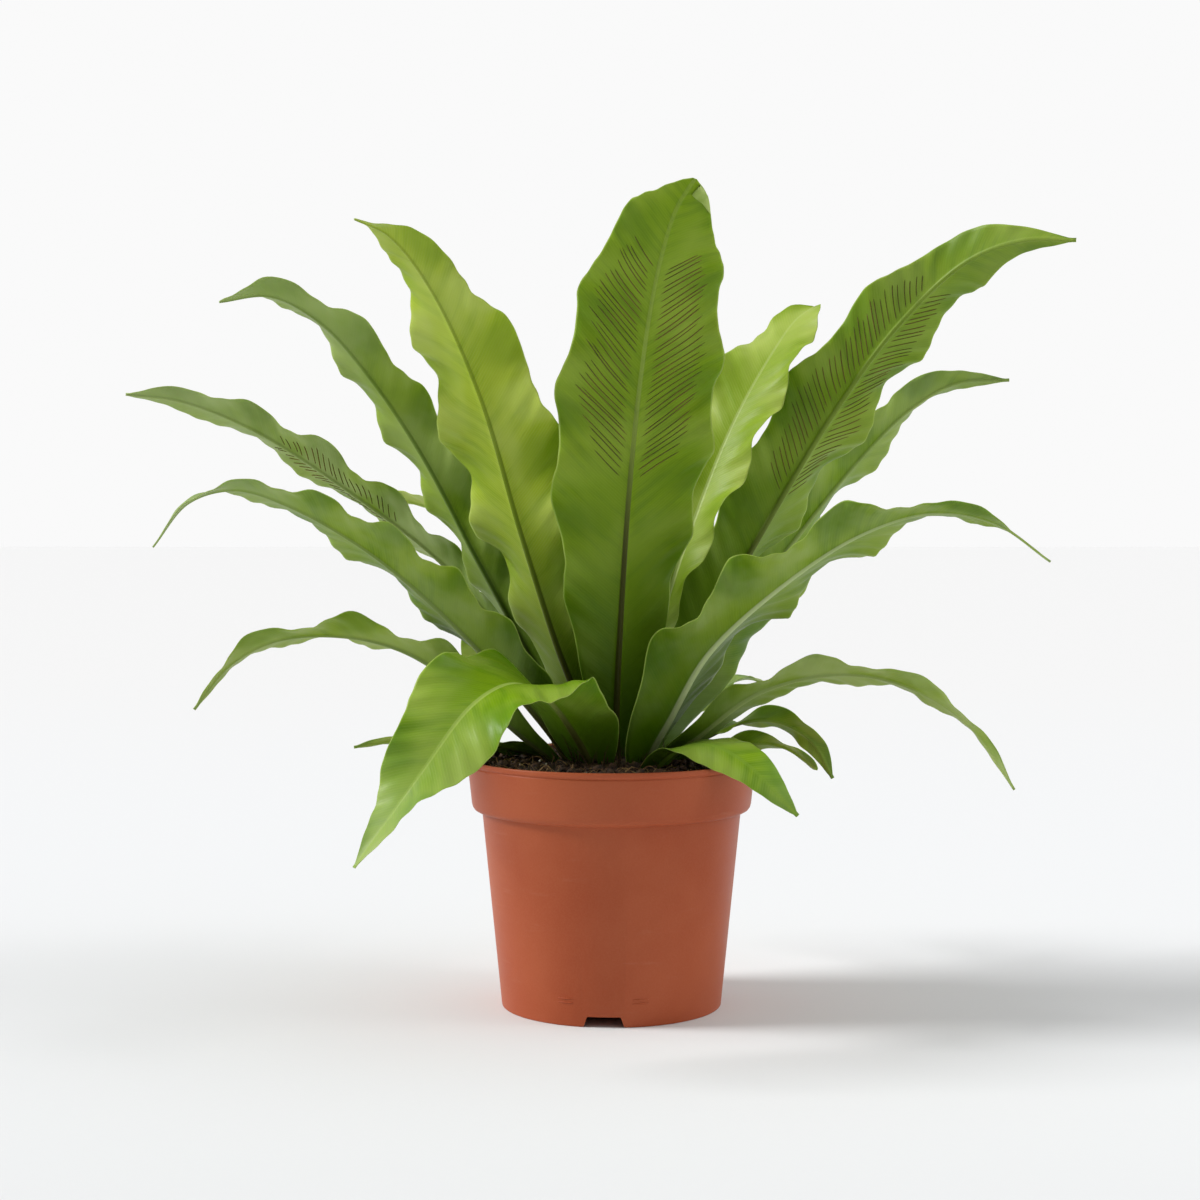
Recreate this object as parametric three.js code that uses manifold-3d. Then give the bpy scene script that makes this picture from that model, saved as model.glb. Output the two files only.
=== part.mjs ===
// A Japanese bird's nest fern in a round plastic nursery pot.
// Millimetres, +Z up. The origin is the middle of the pot's underside, and the front faces -Y.
import * as THREE from "three";
import { mergeVertices } from "three/addons/utils/BufferGeometryUtils.js";
import Module from "manifold-3d";

const wasm = await Module();
wasm.setup();

// Pot sizes
const RIM_DIAMETER = 120;
const POT_HEIGHT = 102.5;
const POT_WALL = 1.4;
const BAND_HEIGHT = 21.7;
const BAND_FOOT_DIAMETER = 114.8;
const BODY_TOP_DIAMETER = 107;
const FOOT_DIAMETER = 90.8;
const BAND_ROUNDING = 3.2;
const LIP_BEAD = 1.2;
const BASE_LIFT = 4.5;
const PAD_DIAMETER = 28;
const POT_FACETS = 36;
const NOTCH_WIDTH_TOP = 14.5;
const NOTCH_WIDTH_FOOT = 16.5;
const NOTCH_DIRECTIONS = [-93.8, 26.2, 146.2];
const DRAIN_DIAMETER = 9;
const DRAIN_CIRCLE_DIAMETER = 56;
const DRAIN_COUNT = 6;

// Soil and crown sizes
const CLEARANCE = 0.3;
const SOIL_LEVEL = 99.5;
const SOIL_MOUND = 0.5;
const SOIL_LUMP = 0.9;
const CROWN_DIAMETER = 50;
const CROWN_FOOT = 83;
const CROWN_TOP = 104.6;
const CROWN_LUMP = 0.8;

// Frond sizes that every frond shares
const STALK_HALF_WIDTH = 2.4;
const STALK_THICKNESS = 1.2;
const BLADE_THICKNESS = 0.75;
const RIB_DEPTH_FOOT = 1.6;
const RIB_DEPTH_TIP = 0.3;
const RIB_HALF_WIDTH = 1.3;
const WAVE_START = 0.08;
const WAVE_FULL = 0.4;
const SOCKET_ROWS = 3;

// Colours
const TERRACOTTA = 0xa9573b;
const SOIL_BROWN = 0x3f2b1c;
const CROWN_BROWN = 0x4a3a22;
const GREEN = 0x6f8f35;
const PALE_GREEN = 0x98ad4e;
const BRIGHT_GREEN = 0x6d9428;

// Each frond is a waved strap along a spine that runs from the stalk's foot to the tip, in mm.
// facing: compass direction in which it leaves the crown, degrees from +X.
// half: widest half-width. swell: how late the blade widens and how early it narrows.
// roll, fold: turn about the spine and rise of each half blade, degrees at even steps.
// left, right: each edge's waves, as how far they turn the edge in degrees, the share of the width by
// which the outline swells and shrinks with them, the first top's place along the blade, from 0 at the foot
// to 1 at the tip, and the step from top to top.
const FRONDS = [
  {
    name: "frond_01", colour: GREEN, rows: 30, facing: -90, half: 31, swell: [1.1, 0.75],
    roll: [0, 20, 0, -10], fold: [5, 5], left: [15, 0.06, -0.02, 0.15], right: [15, 0.06, 0.05, 0.15],
    spine: [
      [4, -9, 91], [2, -14, 115], [4, -30, 170], [8, -45, 225],
      [14, -60, 275], [19, -74, 300], [24, -90, 315], [30, -106, 323],
    ],
  },
  {
    name: "frond_02", colour: PALE_GREEN, rows: 28, facing: -125, half: 26, swell: [0.9, 0.8],
    roll: [10, 0, 10, -5], fold: [20, 10], left: [20, 0.08, 0.06, 0.16], right: [25, 0.06, 0, 0.18],
    spine: [
      [-4, -5, 91], [-9, -8, 115], [-22, -15, 150], [-36, -26, 195],
      [-52, -38, 250], [-70, -52, 290], [-85, -62, 309], [-97, -70, 314],
    ],
  },
  {
    name: "frond_03", colour: GREEN, rows: 31, facing: -165, half: 15, swell: [0.8, 0.5],
    roll: [20, 30, 40, 10], fold: [15, 20], left: [22, 0.1, 0.05, 0.13], right: [30, 0.1, 0.08, 0.14],
    spine: [
      [-6, 2, 91], [-15, 5, 113], [-37, 8, 150], [-56, 5, 185], [-77, -4, 226],
      [-97, -14, 257], [-116, -24, 279], [-135, -32, 289], [-154, -40, 286],
    ],
  },
  {
    name: "frond_04", colour: GREEN, rows: 32, facing: 178, half: 15, swell: [1, 0.8],
    roll: [15, 20, 35, 45], fold: [10, 15], left: [20, 0.1, 0, 0.2], right: [25, 0.12, 0.05, 0.125],
    spine: [
      [-10, 9, 91], [-19, 18, 111], [-38, 29, 140], [-70, 32, 180],
      [-110, 23, 212], [-150, 18, 238], [-180, 15, 250], [-203, 12, 253],
    ],
  },
  {
    name: "frond_05", colour: GREEN, rows: 30, facing: -162, half: 21, swell: [0.75, 1.1],
    roll: [10, 20, 20, 0], fold: [25, 5], left: [18, 0.08, 0.1, 0.2], right: [15, 0.08, 0.07, 0.125],
    spine: [
      [-12, -6, 91], [-20, -9, 107], [-35, -17, 127], [-65, -32, 161], [-95, -45, 188],
      [-125, -55, 206], [-145, -60, 212], [-162, -64, 207], [-175, -68, 190],
    ],
  },
  {
    name: "frond_06", colour: GREEN, rows: 24, facing: -172, half: 15, swell: [1, 1],
    roll: [10, 20, 20, 25], fold: [25, 5], left: [15, 0.06, 0.05, 0.2], right: [30, 0.15, 0, 0.2],
    spine: [
      [-18, -3, 91], [-24, -5, 102], [-35, -7, 111], [-60, -13, 132], [-85, -19, 148],
      [-110, -24, 154], [-135, -29, 152], [-153, -32, 142], [-166, -35, 125],
    ],
  },
  {
    name: "frond_07", colour: BRIGHT_GREEN, rows: 27, facing: -125, half: 25, swell: [0.7, 1],
    roll: [20, -10, -25, 10], fold: [20, 10], left: [15, 0.05, 0.15, 0.2], right: [20, 0.05, 0.1, 0.25],
    spine: [
      [-6, -16, 91], [-9, -20, 103], [-15, -31, 116], [-25, -50, 131],
      [-38, -73, 138], [-52, -92, 131], [-70, -107, 107], [-92, -122, 76],
    ],
  },
  {
    name: "frond_08", colour: GREEN, rows: 13, facing: 178, half: 10.5, swell: [0.6, 0.9],
    roll: [10, 20, 30, 35], fold: [5, 5], left: [30, 0.05, 0.1, 0.4], right: [30, 0.05, 0.2, 0.4],
    spine: [[-19, 6, 91], [-24, 9, 100], [-40, 8, 105], [-65, 3, 110], [-85, -2, 110], [-106, -6, 107]],
  },
  {
    name: "frond_09", colour: PALE_GREEN, rows: 25, facing: 60, half: 18, swell: [1.2, 0.35],
    roll: [0, -5, 0, -10], fold: [35, 5], left: [20, 0.05, 0.1, 0.15], right: [25, 0.1, 0, 0.2],
    spine: [
      [3, -1, 91], [12, -5, 121], [21, -6, 160], [35, -6, 203],
      [50, -3, 240], [65, 5, 267], [77, 13, 284], [85, 18, 290],
    ],
  },
  {
    name: "frond_10", colour: GREEN, rows: 31, facing: -12, half: 23, swell: [1, 1],
    roll: [-50, -40, -60, -80], fold: [30, 20], left: [20, 0.12, 0.1, 0.15], right: [20, 0.12, 0.05, 0.15],
    spine: [
      [11, 1, 91], [20, 6, 115], [35, 11, 147], [60, 11, 191], [90, 2, 242],
      [115, -14, 278], [140, -32, 302], [160, -44, 309], [179, -53, 308],
    ],
  },
  {
    name: "frond_11", colour: GREEN, rows: 28, facing: 12, half: 23, swell: [0.8, 1],
    roll: [-65, -75, -45, -45], fold: [15, 20], left: [30, 0.1, 0.1, 0.15], right: [30, 0.05, 0.1, 0.25],
    spine: [
      [12, 9, 91], [21, 17, 111], [39, 31, 140], [70, 43, 180],
      [105, 48, 224], [130, 48, 249], [150, 47, 260], [172, 45, 261],
    ],
  },
  {
    name: "frond_12", colour: GREEN, rows: 27, facing: -38, half: 24, swell: [0.7, 1.2],
    roll: [0, -10, -15, -25], fold: [20, 5], left: [30, 0.15, 0.25, 0.2], right: [25, 0.15, 0.1, 0.22],
    spine: [
      [11, -11, 91], [15, -14, 105], [23, -20, 120], [38, -33, 147], [65, -51, 174],
      [95, -68, 195], [120, -80, 203], [142, -90, 199], [161, -97, 185],
    ],
  },
  {
    name: "frond_13", colour: GREEN, rows: 23, facing: -22, half: 11.5, swell: [0.8, 1],
    roll: [-25, -25, -30, -40], fold: [5, 5], left: [30, 0.1, 0.05, 0.22], right: [15, 0.05, 0.05, 0.2],
    spine: [
      [17, -4, 91], [22, -8, 102], [35, -15, 113], [60, -27, 132],
      [90, -42, 140], [115, -55, 136], [138, -66, 121], [153, -73, 98],
    ],
  },
  {
    name: "frond_14", colour: GREEN, rows: 13, facing: 10, half: 8.5, swell: [1, 0.9],
    roll: [-5, 0, -35, -60], fold: [10, 5], left: [30, 0.05, 0.25, 0.35], right: [20, 0.1, 0.1, 0.3],
    spine: [
      [17, 9, 91], [23, 10, 101], [38, 11, 109], [55, 12, 116],
      [70, 13, 116], [84, 13, 108], [93, 13, 92],
    ],
  },
  {
    name: "frond_15", colour: GREEN, rows: 12, facing: -8, half: 7.5, swell: [1, 0.5],
    roll: [-25, -30, -30, -20], fold: [5, 5], left: [30, 0.05, 0.25, 0.35], right: [25, 0.05, 0.3, 0.5],
    spine: [[19, 2, 91], [25, 1, 99], [38, -3, 104], [55, -8, 109], [70, -11, 108], [84, -15, 99]],
  },
  {
    name: "frond_16", colour: BRIGHT_GREEN, rows: 13, facing: -48, half: 12, swell: [0.6, 0.9],
    roll: [0, 10, 30, 45], fold: [5, 5], left: [25, 0.1, 0.1, 0.9], right: [30, 0.1, 0, 0.9],
    spine: [
      [13, -17, 91], [18, -21, 101], [27, -27, 109], [40, -37, 111],
      [54, -48, 104], [65, -56, 93], [72, -59, 86],
    ],
  },
  {
    name: "frond_17", colour: PALE_GREEN, rows: 19, facing: 150, half: 16, swell: [0.8, 0.8],
    roll: [0, 20, 30, 30], fold: [15, 10], left: [25, 0.05, 0.1, 0.25], right: [25, 0.05, 0.2, 0.25],
    spine: [[-5, 14, 91], [-12, 22, 118], [-30, 38, 158], [-54, 52, 188], [-80, 64, 206], [-112, 78, 212]],
  },
  {
    name: "frond_18", colour: PALE_GREEN, rows: 20, facing: 100, half: 17, swell: [0.9, 0.7],
    roll: [0, 0, 0, 0], fold: [15, 10], left: [25, 0.05, 0.1, 0.25], right: [25, 0.05, 0.2, 0.25],
    spine: [
      [-3, 8, 91], [-6, 14, 123], [-9, 24, 168], [-9, 37, 213],
      [-6, 52, 248], [-1, 68, 273], [6, 86, 288],
    ],
  },
  {
    name: "frond_19", colour: GREEN, rows: 17, facing: 75, half: 16, swell: [0.9, 0.7],
    roll: [0, 0, 0, 0], fold: [15, 10], left: [25, 0.05, 0.2, 0.3], right: [25, 0.05, 0.05, 0.3],
    spine: [[4, 13, 91], [6, 26, 128], [10, 43, 173], [17, 61, 208], [24, 79, 233], [30, 98, 248]],
  },
  {
    name: "frond_20", colour: GREEN, rows: 17, facing: 120, half: 13, swell: [0.8, 0.7],
    roll: [0, 10, 10, 0], fold: [15, 10], left: [25, 0.05, 0, 0.3], right: [25, 0.05, 0.15, 0.3],
    spine: [
      [-14, 16, 91], [-19, 24, 105], [-29, 42, 129], [-41, 62, 148],
      [-52, 86, 153], [-61, 112, 141], [-66, 130, 121],
    ],
  },
  {
    name: "frond_21", colour: GREEN, rows: 13, facing: 50, half: 9, swell: [0.8, 0.7],
    roll: [0, 0, 0, 0], fold: [10, 5], left: [25, 0.05, 0.3, 0.4], right: [25, 0.05, 0.1, 0.4],
    spine: [[12, 16, 91], [16, 26, 101], [32, 49, 116], [48, 69, 126], [62, 86, 129], [74, 100, 124]],
  },
  {
    name: "frond_22", colour: GREEN, rows: 17, facing: 92, half: 14, swell: [0.8, 0.7],
    roll: [0, 0, 0, 0], fold: [15, 10], left: [25, 0.05, 0.15, 0.3], right: [25, 0.05, 0, 0.3],
    spine: [
      [1, 20, 91], [1, 27, 107], [-1, 46, 133], [-2, 71, 151],
      [-2, 98, 155], [0, 124, 143], [2, 144, 121],
    ],
  },
];

// A value that eases through a list of numbers as t goes from 0 to 1.
function eased(values, t) {
  const last = values.length - 1;
  const step = Math.min(Math.floor(t * last), last - 1);
  const part = t * last - step;
  const blend = part * part * (3 - 2 * part);
  return values[step] * (1 - blend) + values[step + 1] * blend;
}

// Half-width of a frond at t, from the stalk through its widest place to the tip.
function halfWidth(frond, t) {
  const [rise, fall] = frond.swell;
  const widest = rise / (rise + fall);
  const blade = frond.half * (t / widest) ** rise * ((1 - t) / (1 - widest)) ** fall;
  const stalk = STALK_HALF_WIDTH * (1 - t) ** 0.4;
  return Math.max(blade, stalk, BLADE_THICKNESS);
}

// The spine's point and the three directions of a frond at t: along, across and up.
function frameAt(frond, curve, t) {
  const point = curve.getPointAt(t);
  const along = curve.getTangentAt(t);
  const facing = THREE.MathUtils.degToRad(frond.facing);
  const level = new THREE.Vector3(-Math.sin(facing), Math.cos(facing), 0);
  const across = level.addScaledVector(along, -along.dot(level)).normalize();
  const roll = THREE.MathUtils.degToRad(eased(frond.roll, t));
  across.applyAxisAngle(along, roll);
  const up = new THREE.Vector3().crossVectors(along, across);
  return { point, along, across, up };
}

// One half of a section, from the spine out: its points half way to the edge and on it, and the
// direction of the blade's face at each. Angles are in the plane of across and up.
function halfSection(frond, side, t, width) {
  const [degrees, lobe, firstTop, step] = side > 0 ? frond.right : frond.left;
  const strength = THREE.MathUtils.smoothstep(t, WAVE_START, WAVE_FULL);
  const turn = (2 * Math.PI * (t - firstTop)) / step;
  const wave = THREE.MathUtils.degToRad(degrees) * strength * Math.cos(turn);
  const span = width * (1 + lobe * strength * Math.sin(turn));
  const fold = THREE.MathUtils.degToRad(eased(frond.fold, t));
  const inner = fold + wave * 0.25;
  const outer = fold + wave * 0.75;
  const middle = [(Math.cos(inner) * span) / 2, (Math.sin(inner) * span) / 2];
  const edge = [middle[0] + (Math.cos(outer) * span) / 2, middle[1] + (Math.sin(outer) * span) / 2];
  return { side, inner, outer, middle, edge };
}

// The twelve corners of a frond's section at t: five on the upper face, seven on the lower one, where
// the midrib stands out. grow moves every face outwards, which makes the solid that cuts a socket.
function sectionAt(frond, curve, t, grow) {
  const { point, across, up } = frameAt(frond, curve, t);
  const width = halfWidth(frond, t) + grow;
  const stalk = Math.max(0, 1 - t / WAVE_FULL);
  const thickness = BLADE_THICKNESS + (STALK_THICKNESS - BLADE_THICKNESS) * stalk;
  const ribDepth = RIB_DEPTH_TIP + (RIB_DEPTH_FOOT - RIB_DEPTH_TIP) * (1 - t);
  const ribHalf = Math.min(RIB_HALF_WIDTH * (1 - 0.5 * t), width * 0.38);
  const corner = (x, y, angle, side, offset) =>
    point
      .clone()
      .addScaledVector(across, side * (x - offset * Math.sin(angle)))
      .addScaledVector(up, y + offset * Math.cos(angle));
  const upper = (half, place) => corner(...place, half.side, grow);
  const lower = (half, place) => corner(...place, half.side, -thickness - grow);
  const places = (half) => ({
    edge: [...half.edge, half.outer],
    middle: [...half.middle, (half.inner + half.outer) / 2],
    ribFoot: [ribHalf * Math.cos(half.inner), ribHalf * Math.sin(half.inner), half.inner],
  });
  const left = halfSection(frond, -1, t, width);
  const right = halfSection(frond, 1, t, width);
  const leftPlaces = places(left);
  const rightPlaces = places(right);
  return [
    upper(left, leftPlaces.edge),
    upper(left, leftPlaces.middle),
    corner(0, 0, 0, 1, grow),
    upper(right, rightPlaces.middle),
    upper(right, rightPlaces.edge),
    lower(right, rightPlaces.edge),
    lower(right, rightPlaces.middle),
    lower(right, rightPlaces.ribFoot),
    corner(0, 0, 0, 1, -thickness - ribDepth - grow),
    lower(left, leftPlaces.ribFoot),
    lower(left, leftPlaces.middle),
    lower(left, leftPlaces.edge),
  ];
}

// How a section's corners close a solid: the steps along its upper face, and the triangles of its end.
const BLADE_SECTION = {
  upperSteps: 4,
  ends: [
    [0, 1, 10], [0, 10, 11], [1, 2, 9], [1, 9, 10], [2, 8, 9],
    [2, 7, 8], [2, 6, 7], [2, 3, 6], [3, 5, 6], [3, 4, 5],
  ],
};

// A stalk's section leaves out the corners half way to each edge, where it has no waves.
const STALK_SECTION = {
  corners: [0, 2, 4, 5, 7, 8, 9, 11],
  upperSteps: 2,
  ends: [[0, 1, 6], [0, 6, 7], [1, 5, 6], [1, 4, 5], [1, 2, 4], [2, 3, 4]],
};

// A closed solid through a row of sections. Both faces are split along the same diagonal, so a waved
// blade keeps its thickness.
function solidThroughSections(sections, { upperSteps, ends }) {
  const count = sections[0].length;
  const positions = sections.flat().flatMap((corner) => corner.toArray());
  const index = [];
  for (let row = 0; row < sections.length - 1; row += 1) {
    for (let step = 0; step < count; step += 1) {
      const a = row * count + step;
      const b = row * count + ((step + 1) % count);
      const c = b + count;
      const d = a + count;
      if (step < upperSteps) index.push(a, d, c, a, c, b);
      else index.push(a, d, b, b, d, c);
    }
  }
  const end = (sections.length - 1) * count;
  for (const [i, j, k] of ends) {
    index.push(i, j, k);
    index.push(end + i, end + k, end + j);
  }
  const geometry = new THREE.BufferGeometry();
  geometry.setAttribute("position", new THREE.Float32BufferAttribute(positions, 3));
  geometry.setIndex(index);
  return geometry;
}

// The spine of a frond as a smooth curve.
function spineCurve(frond) {
  const points = frond.spine.map((place) => new THREE.Vector3(...place));
  return new THREE.CatmullRomCurve3(points, false, "centripetal");
}

// A whole frond.
function frondGeometry(frond) {
  const curve = spineCurve(frond);
  const sections = [];
  for (let row = 0; row <= frond.rows; row += 1) sections.push(sectionAt(frond, curve, row / frond.rows, 0));
  return solidThroughSections(sections, BLADE_SECTION);
}

// The lower end of a frond's stalk with its clearance, which cuts its socket.
function socketGeometry(frond) {
  const curve = spineCurve(frond);
  const sections = [];
  for (let row = 0; row <= SOCKET_ROWS; row += 1) {
    const section = sectionAt(frond, curve, row / frond.rows, CLEARANCE);
    sections.push(STALK_SECTION.corners.map((corner) => section[corner]));
  }
  const down = curve.getTangentAt(0).multiplyScalar(-CLEARANCE);
  for (const corner of sections[0]) corner.add(down);
  return solidThroughSections(sections, STALK_SECTION);
}

// A closed geometry as a solid that can be cut and joined, and back.
function toSolid(geometry) {
  const bare = geometry.clone();
  bare.deleteAttribute("normal");
  bare.deleteAttribute("uv");
  const merged = mergeVertices(bare, 1e-4);
  const mesh = new wasm.Mesh({
    numProp: 3,
    vertProperties: new Float32Array(merged.attributes.position.array),
    triVerts: new Uint32Array(merged.index.array),
  });
  return new wasm.Manifold(mesh);
}

function toGeometry(solid) {
  const mesh = solid.getMesh();
  const geometry = new THREE.BufferGeometry();
  geometry.setAttribute("position", new THREE.BufferAttribute(new Float32Array(mesh.vertProperties), 3));
  geometry.setIndex(new THREE.BufferAttribute(new Uint32Array(mesh.triVerts), 1));
  return geometry;
}

// A body of revolution about +Z from a profile of [radius, height].
function turned(profile, facets) {
  const points = profile.map(([radius, height]) => new THREE.Vector2(radius, height));
  return new THREE.LatheGeometry(points, facets).rotateX(Math.PI / 2);
}

// The pot's wall and floor, about one thickness all over, its foot standing BASE_LIFT below the floor. The
// band is rounded at its lower edge, and the middle of the floor dips to a pad that stands on the ground.
function potProfile() {
  const rim = RIM_DIAMETER / 2;
  const bandTop = rim - LIP_BEAD / 2;
  const bandFoot = BAND_FOOT_DIAMETER / 2;
  const bodyTop = BODY_TOP_DIAMETER / 2;
  const foot = FOOT_DIAMETER / 2;
  const pad = PAD_DIAMETER / 2;
  const ledge = POT_HEIGHT - BAND_HEIGHT;
  const floor = BASE_LIFT + POT_WALL;
  return [
    [0, 0],
    [pad, 0],
    [pad + BASE_LIFT / 2, BASE_LIFT],
    [foot - POT_WALL, BASE_LIFT],
    [foot - POT_WALL, 0],
    [foot, 0],
    [bodyTop, ledge],
    [bandFoot - BAND_ROUNDING, ledge],
    [bandFoot - 0.3 * BAND_ROUNDING, ledge + 0.3 * BAND_ROUNDING],
    [bandFoot, ledge + BAND_ROUNDING],
    [bandTop, POT_HEIGHT - 2 * LIP_BEAD],
    [rim, POT_HEIGHT - 1.5 * LIP_BEAD],
    [rim, POT_HEIGHT - LIP_BEAD / 3],
    [rim - LIP_BEAD / 2, POT_HEIGHT],
    [bandTop - POT_WALL, POT_HEIGHT - LIP_BEAD / 2],
    [bandFoot - POT_WALL, ledge + 2 * POT_WALL],
    [bodyTop - POT_WALL, ledge + POT_WALL],
    [foot - POT_WALL + 1, floor],
    [pad + BASE_LIFT / 2 - POT_WALL, floor],
    [pad - POT_WALL, POT_WALL],
    [0, POT_WALL],
  ];
}

// The wedge that cuts one notch in the pot's foot.
function notchCutter(direction) {
  const outline = new THREE.Shape();
  outline.moveTo(-NOTCH_WIDTH_FOOT / 2, -1);
  outline.lineTo(NOTCH_WIDTH_FOOT / 2, -1);
  outline.lineTo(NOTCH_WIDTH_TOP / 2, BASE_LIFT - 0.2);
  outline.lineTo(-NOTCH_WIDTH_TOP / 2, BASE_LIFT - 0.2);
  outline.closePath();
  const depth = 4 * POT_WALL;
  const cutter = new THREE.ExtrudeGeometry(outline, { depth, bevelEnabled: false });
  cutter.rotateX(Math.PI / 2);
  cutter.translate(0, -FOOT_DIAMETER / 2 + depth - POT_WALL, 0);
  cutter.rotateZ(THREE.MathUtils.degToRad(direction + 90));
  return cutter;
}

// A drain hole's cutter, through the raised floor.
function drainCutter(number) {
  const angle = ((number + 0.5) * 2 * Math.PI) / DRAIN_COUNT;
  const radius = DRAIN_CIRCLE_DIAMETER / 2;
  const cutter = new THREE.CylinderGeometry(DRAIN_DIAMETER / 2, DRAIN_DIAMETER / 2, 3 * POT_WALL, 16);
  cutter.rotateX(Math.PI / 2);
  cutter.translate(radius * Math.cos(angle), radius * Math.sin(angle), BASE_LIFT + POT_WALL / 2);
  return cutter;
}

function potGeometry() {
  let solid = toSolid(turned(potProfile(), POT_FACETS));
  for (const direction of NOTCH_DIRECTIONS) solid = solid.subtract(toSolid(notchCutter(direction)));
  for (let number = 0; number < DRAIN_COUNT; number += 1) {
    solid = solid.subtract(toSolid(drainCutter(number)));
  }
  return toGeometry(solid);
}

// Lumps of the potting mix: a smooth height that depends on the place alone.
function lump(x, y) {
  return Math.sin(0.37 * x + 1.1) * Math.cos(0.43 * y) + 0.5 * Math.sin(0.91 * x - 0.67 * y);
}

// The potting mix fills the pot to just under the lip and rises a little towards the crown.
function soilGeometry() {
  const gap = CLEARANCE;
  const ledge = POT_HEIGHT - BAND_HEIGHT;
  const wallFoot = FOOT_DIAMETER / 2 - POT_WALL + 1 - gap;
  const ledgeRadius = BODY_TOP_DIAMETER / 2 - POT_WALL - gap;
  const bandRadius = BAND_FOOT_DIAMETER / 2 - POT_WALL - gap;
  const topRadius = bandRadius + ((SOIL_LEVEL - ledge) / BAND_HEIGHT) * 1.4;
  const floor = BASE_LIFT + POT_WALL + gap;
  const pad = PAD_DIAMETER / 2 - POT_WALL - gap;
  const profile = [
    [0, POT_WALL + gap],
    [pad, POT_WALL + gap],
    [pad + BASE_LIFT / 2, floor],
    [wallFoot, floor],
    [ledgeRadius, ledge + POT_WALL + gap],
    [bandRadius, ledge + 2 * POT_WALL + gap],
    [topRadius, SOIL_LEVEL],
  ];
  const rings = 6;
  for (let ring = 1; ring <= rings; ring += 1) {
    const share = ring / rings;
    profile.push([topRadius * (1 - share), SOIL_LEVEL + SOIL_MOUND * Math.sin((share * Math.PI) / 2)]);
  }
  const geometry = turned(profile, POT_FACETS);
  const position = geometry.attributes.position;
  for (let i = 0; i < position.count; i += 1) {
    const [x, y, z] = [position.getX(i), position.getY(i), position.getZ(i)];
    const inside = Math.hypot(x, y) < topRadius - 1;
    if (inside && z > SOIL_LEVEL) position.setZ(i, z + SOIL_LUMP * lump(x, y));
  }
  return geometry;
}

// The crown is a low lumpy mound, half sunk in the mix. grow makes the solid that cuts its seat.
function crownGeometry(grow) {
  const radius = CROWN_DIAMETER / 2 + grow;
  const waist = SOIL_LEVEL + SOIL_MOUND - 1;
  const top = CROWN_TOP + grow;
  const profile = [
    [0, CROWN_FOOT - grow],
    [radius * 0.72, CROWN_FOOT - grow],
    [radius * 0.94, CROWN_FOOT + 6],
    [radius, waist - 2],
    [radius * 0.96, waist + 2],
    [radius * 0.82, top - 3],
    [radius * 0.5, top - 1],
    [0, top],
  ];
  const geometry = turned(profile, 20);
  const position = geometry.attributes.position;
  for (let i = 0; i < position.count; i += 1) {
    const [x, y, z] = [position.getX(i), position.getY(i), position.getZ(i)];
    if (z > waist) position.setZ(i, z + CROWN_LUMP * lump(2 * x, 2 * y));
  }
  return geometry;
}

// A named mesh with a plain material.
function piece(name, geometry, color, roughness) {
  geometry.computeVertexNormals();
  const material = new THREE.MeshStandardMaterial({ color, roughness, metalness: 0 });
  const mesh = new THREE.Mesh(geometry, material);
  mesh.name = name;
  return mesh;
}

function buildPlant() {
  const plant = new THREE.Group();
  plant.name = "potted_fern";
  const sockets = FRONDS.map((frond) => toSolid(socketGeometry(frond)));
  const cut = (solid) => sockets.reduce((rest, socket) => rest.subtract(socket), solid);
  const crown = cut(toSolid(crownGeometry(0)));
  const soil = cut(toSolid(soilGeometry()).subtract(toSolid(crownGeometry(CLEARANCE))));
  plant.add(piece("pot", potGeometry(), TERRACOTTA, 0.5));
  plant.add(piece("soil", toGeometry(soil), SOIL_BROWN, 0.95));
  plant.add(piece("crown", toGeometry(crown), CROWN_BROWN, 0.9));
  for (const frond of FRONDS) plant.add(piece(frond.name, frondGeometry(frond), frond.colour, 0.5));
  return plant;
}

export default buildPlant();
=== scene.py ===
import math
import random

import bmesh
import bpy
import numpy as np
from mathutils import Matrix, Vector


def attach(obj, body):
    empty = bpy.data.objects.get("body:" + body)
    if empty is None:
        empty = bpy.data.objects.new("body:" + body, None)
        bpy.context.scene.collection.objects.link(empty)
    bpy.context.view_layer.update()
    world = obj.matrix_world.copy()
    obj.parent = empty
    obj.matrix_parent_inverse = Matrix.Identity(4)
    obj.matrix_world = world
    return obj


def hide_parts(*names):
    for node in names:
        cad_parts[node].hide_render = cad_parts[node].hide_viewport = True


MM = 0.001

# Camera
LENS = 63.21
SENSOR = 36.0
CAMERA_PLACE = (0.0, -0.870, 0.1975)
CAMERA_PITCH = 1.984
CAMERA_TURN = 0.3127
BACKGROUND = 0.955

# Pot sizes
RIM_DIAMETER = 120
POT_HEIGHT = 102.5
POT_WALL = 1.4
BAND_HEIGHT = 21.7
BAND_FOOT_DIAMETER = 114.8
BODY_TOP_DIAMETER = 107
FOOT_DIAMETER = 90.8
BAND_ROUNDING = 3.2
LIP_BEAD = 1.2
LIP_GROOVE = 0.35
BASE_LIFT = 4.5
PAD_DIAMETER = 28
POT_FACETS = 240
NOTCH_WIDTH_TOP = 13.4
NOTCH_WIDTH_FOOT = 15.4
NOTCH_FLARE = 1.3
NOTCH_DIRECTIONS = (-93.8, 26.2, 146.2)
DRAIN_DIAMETER = 9
DRAIN_CIRCLE_DIAMETER = 56
DRAIN_COUNT = 6

# Soil and crown sizes
CLEARANCE = 0.3
SOIL_LEVEL = 99.5
SOIL_HEAP = 0.9
CROWN_DIAMETER = 50
CROWN_FOOT = 83
CROWN_TOP = 104.6

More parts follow.
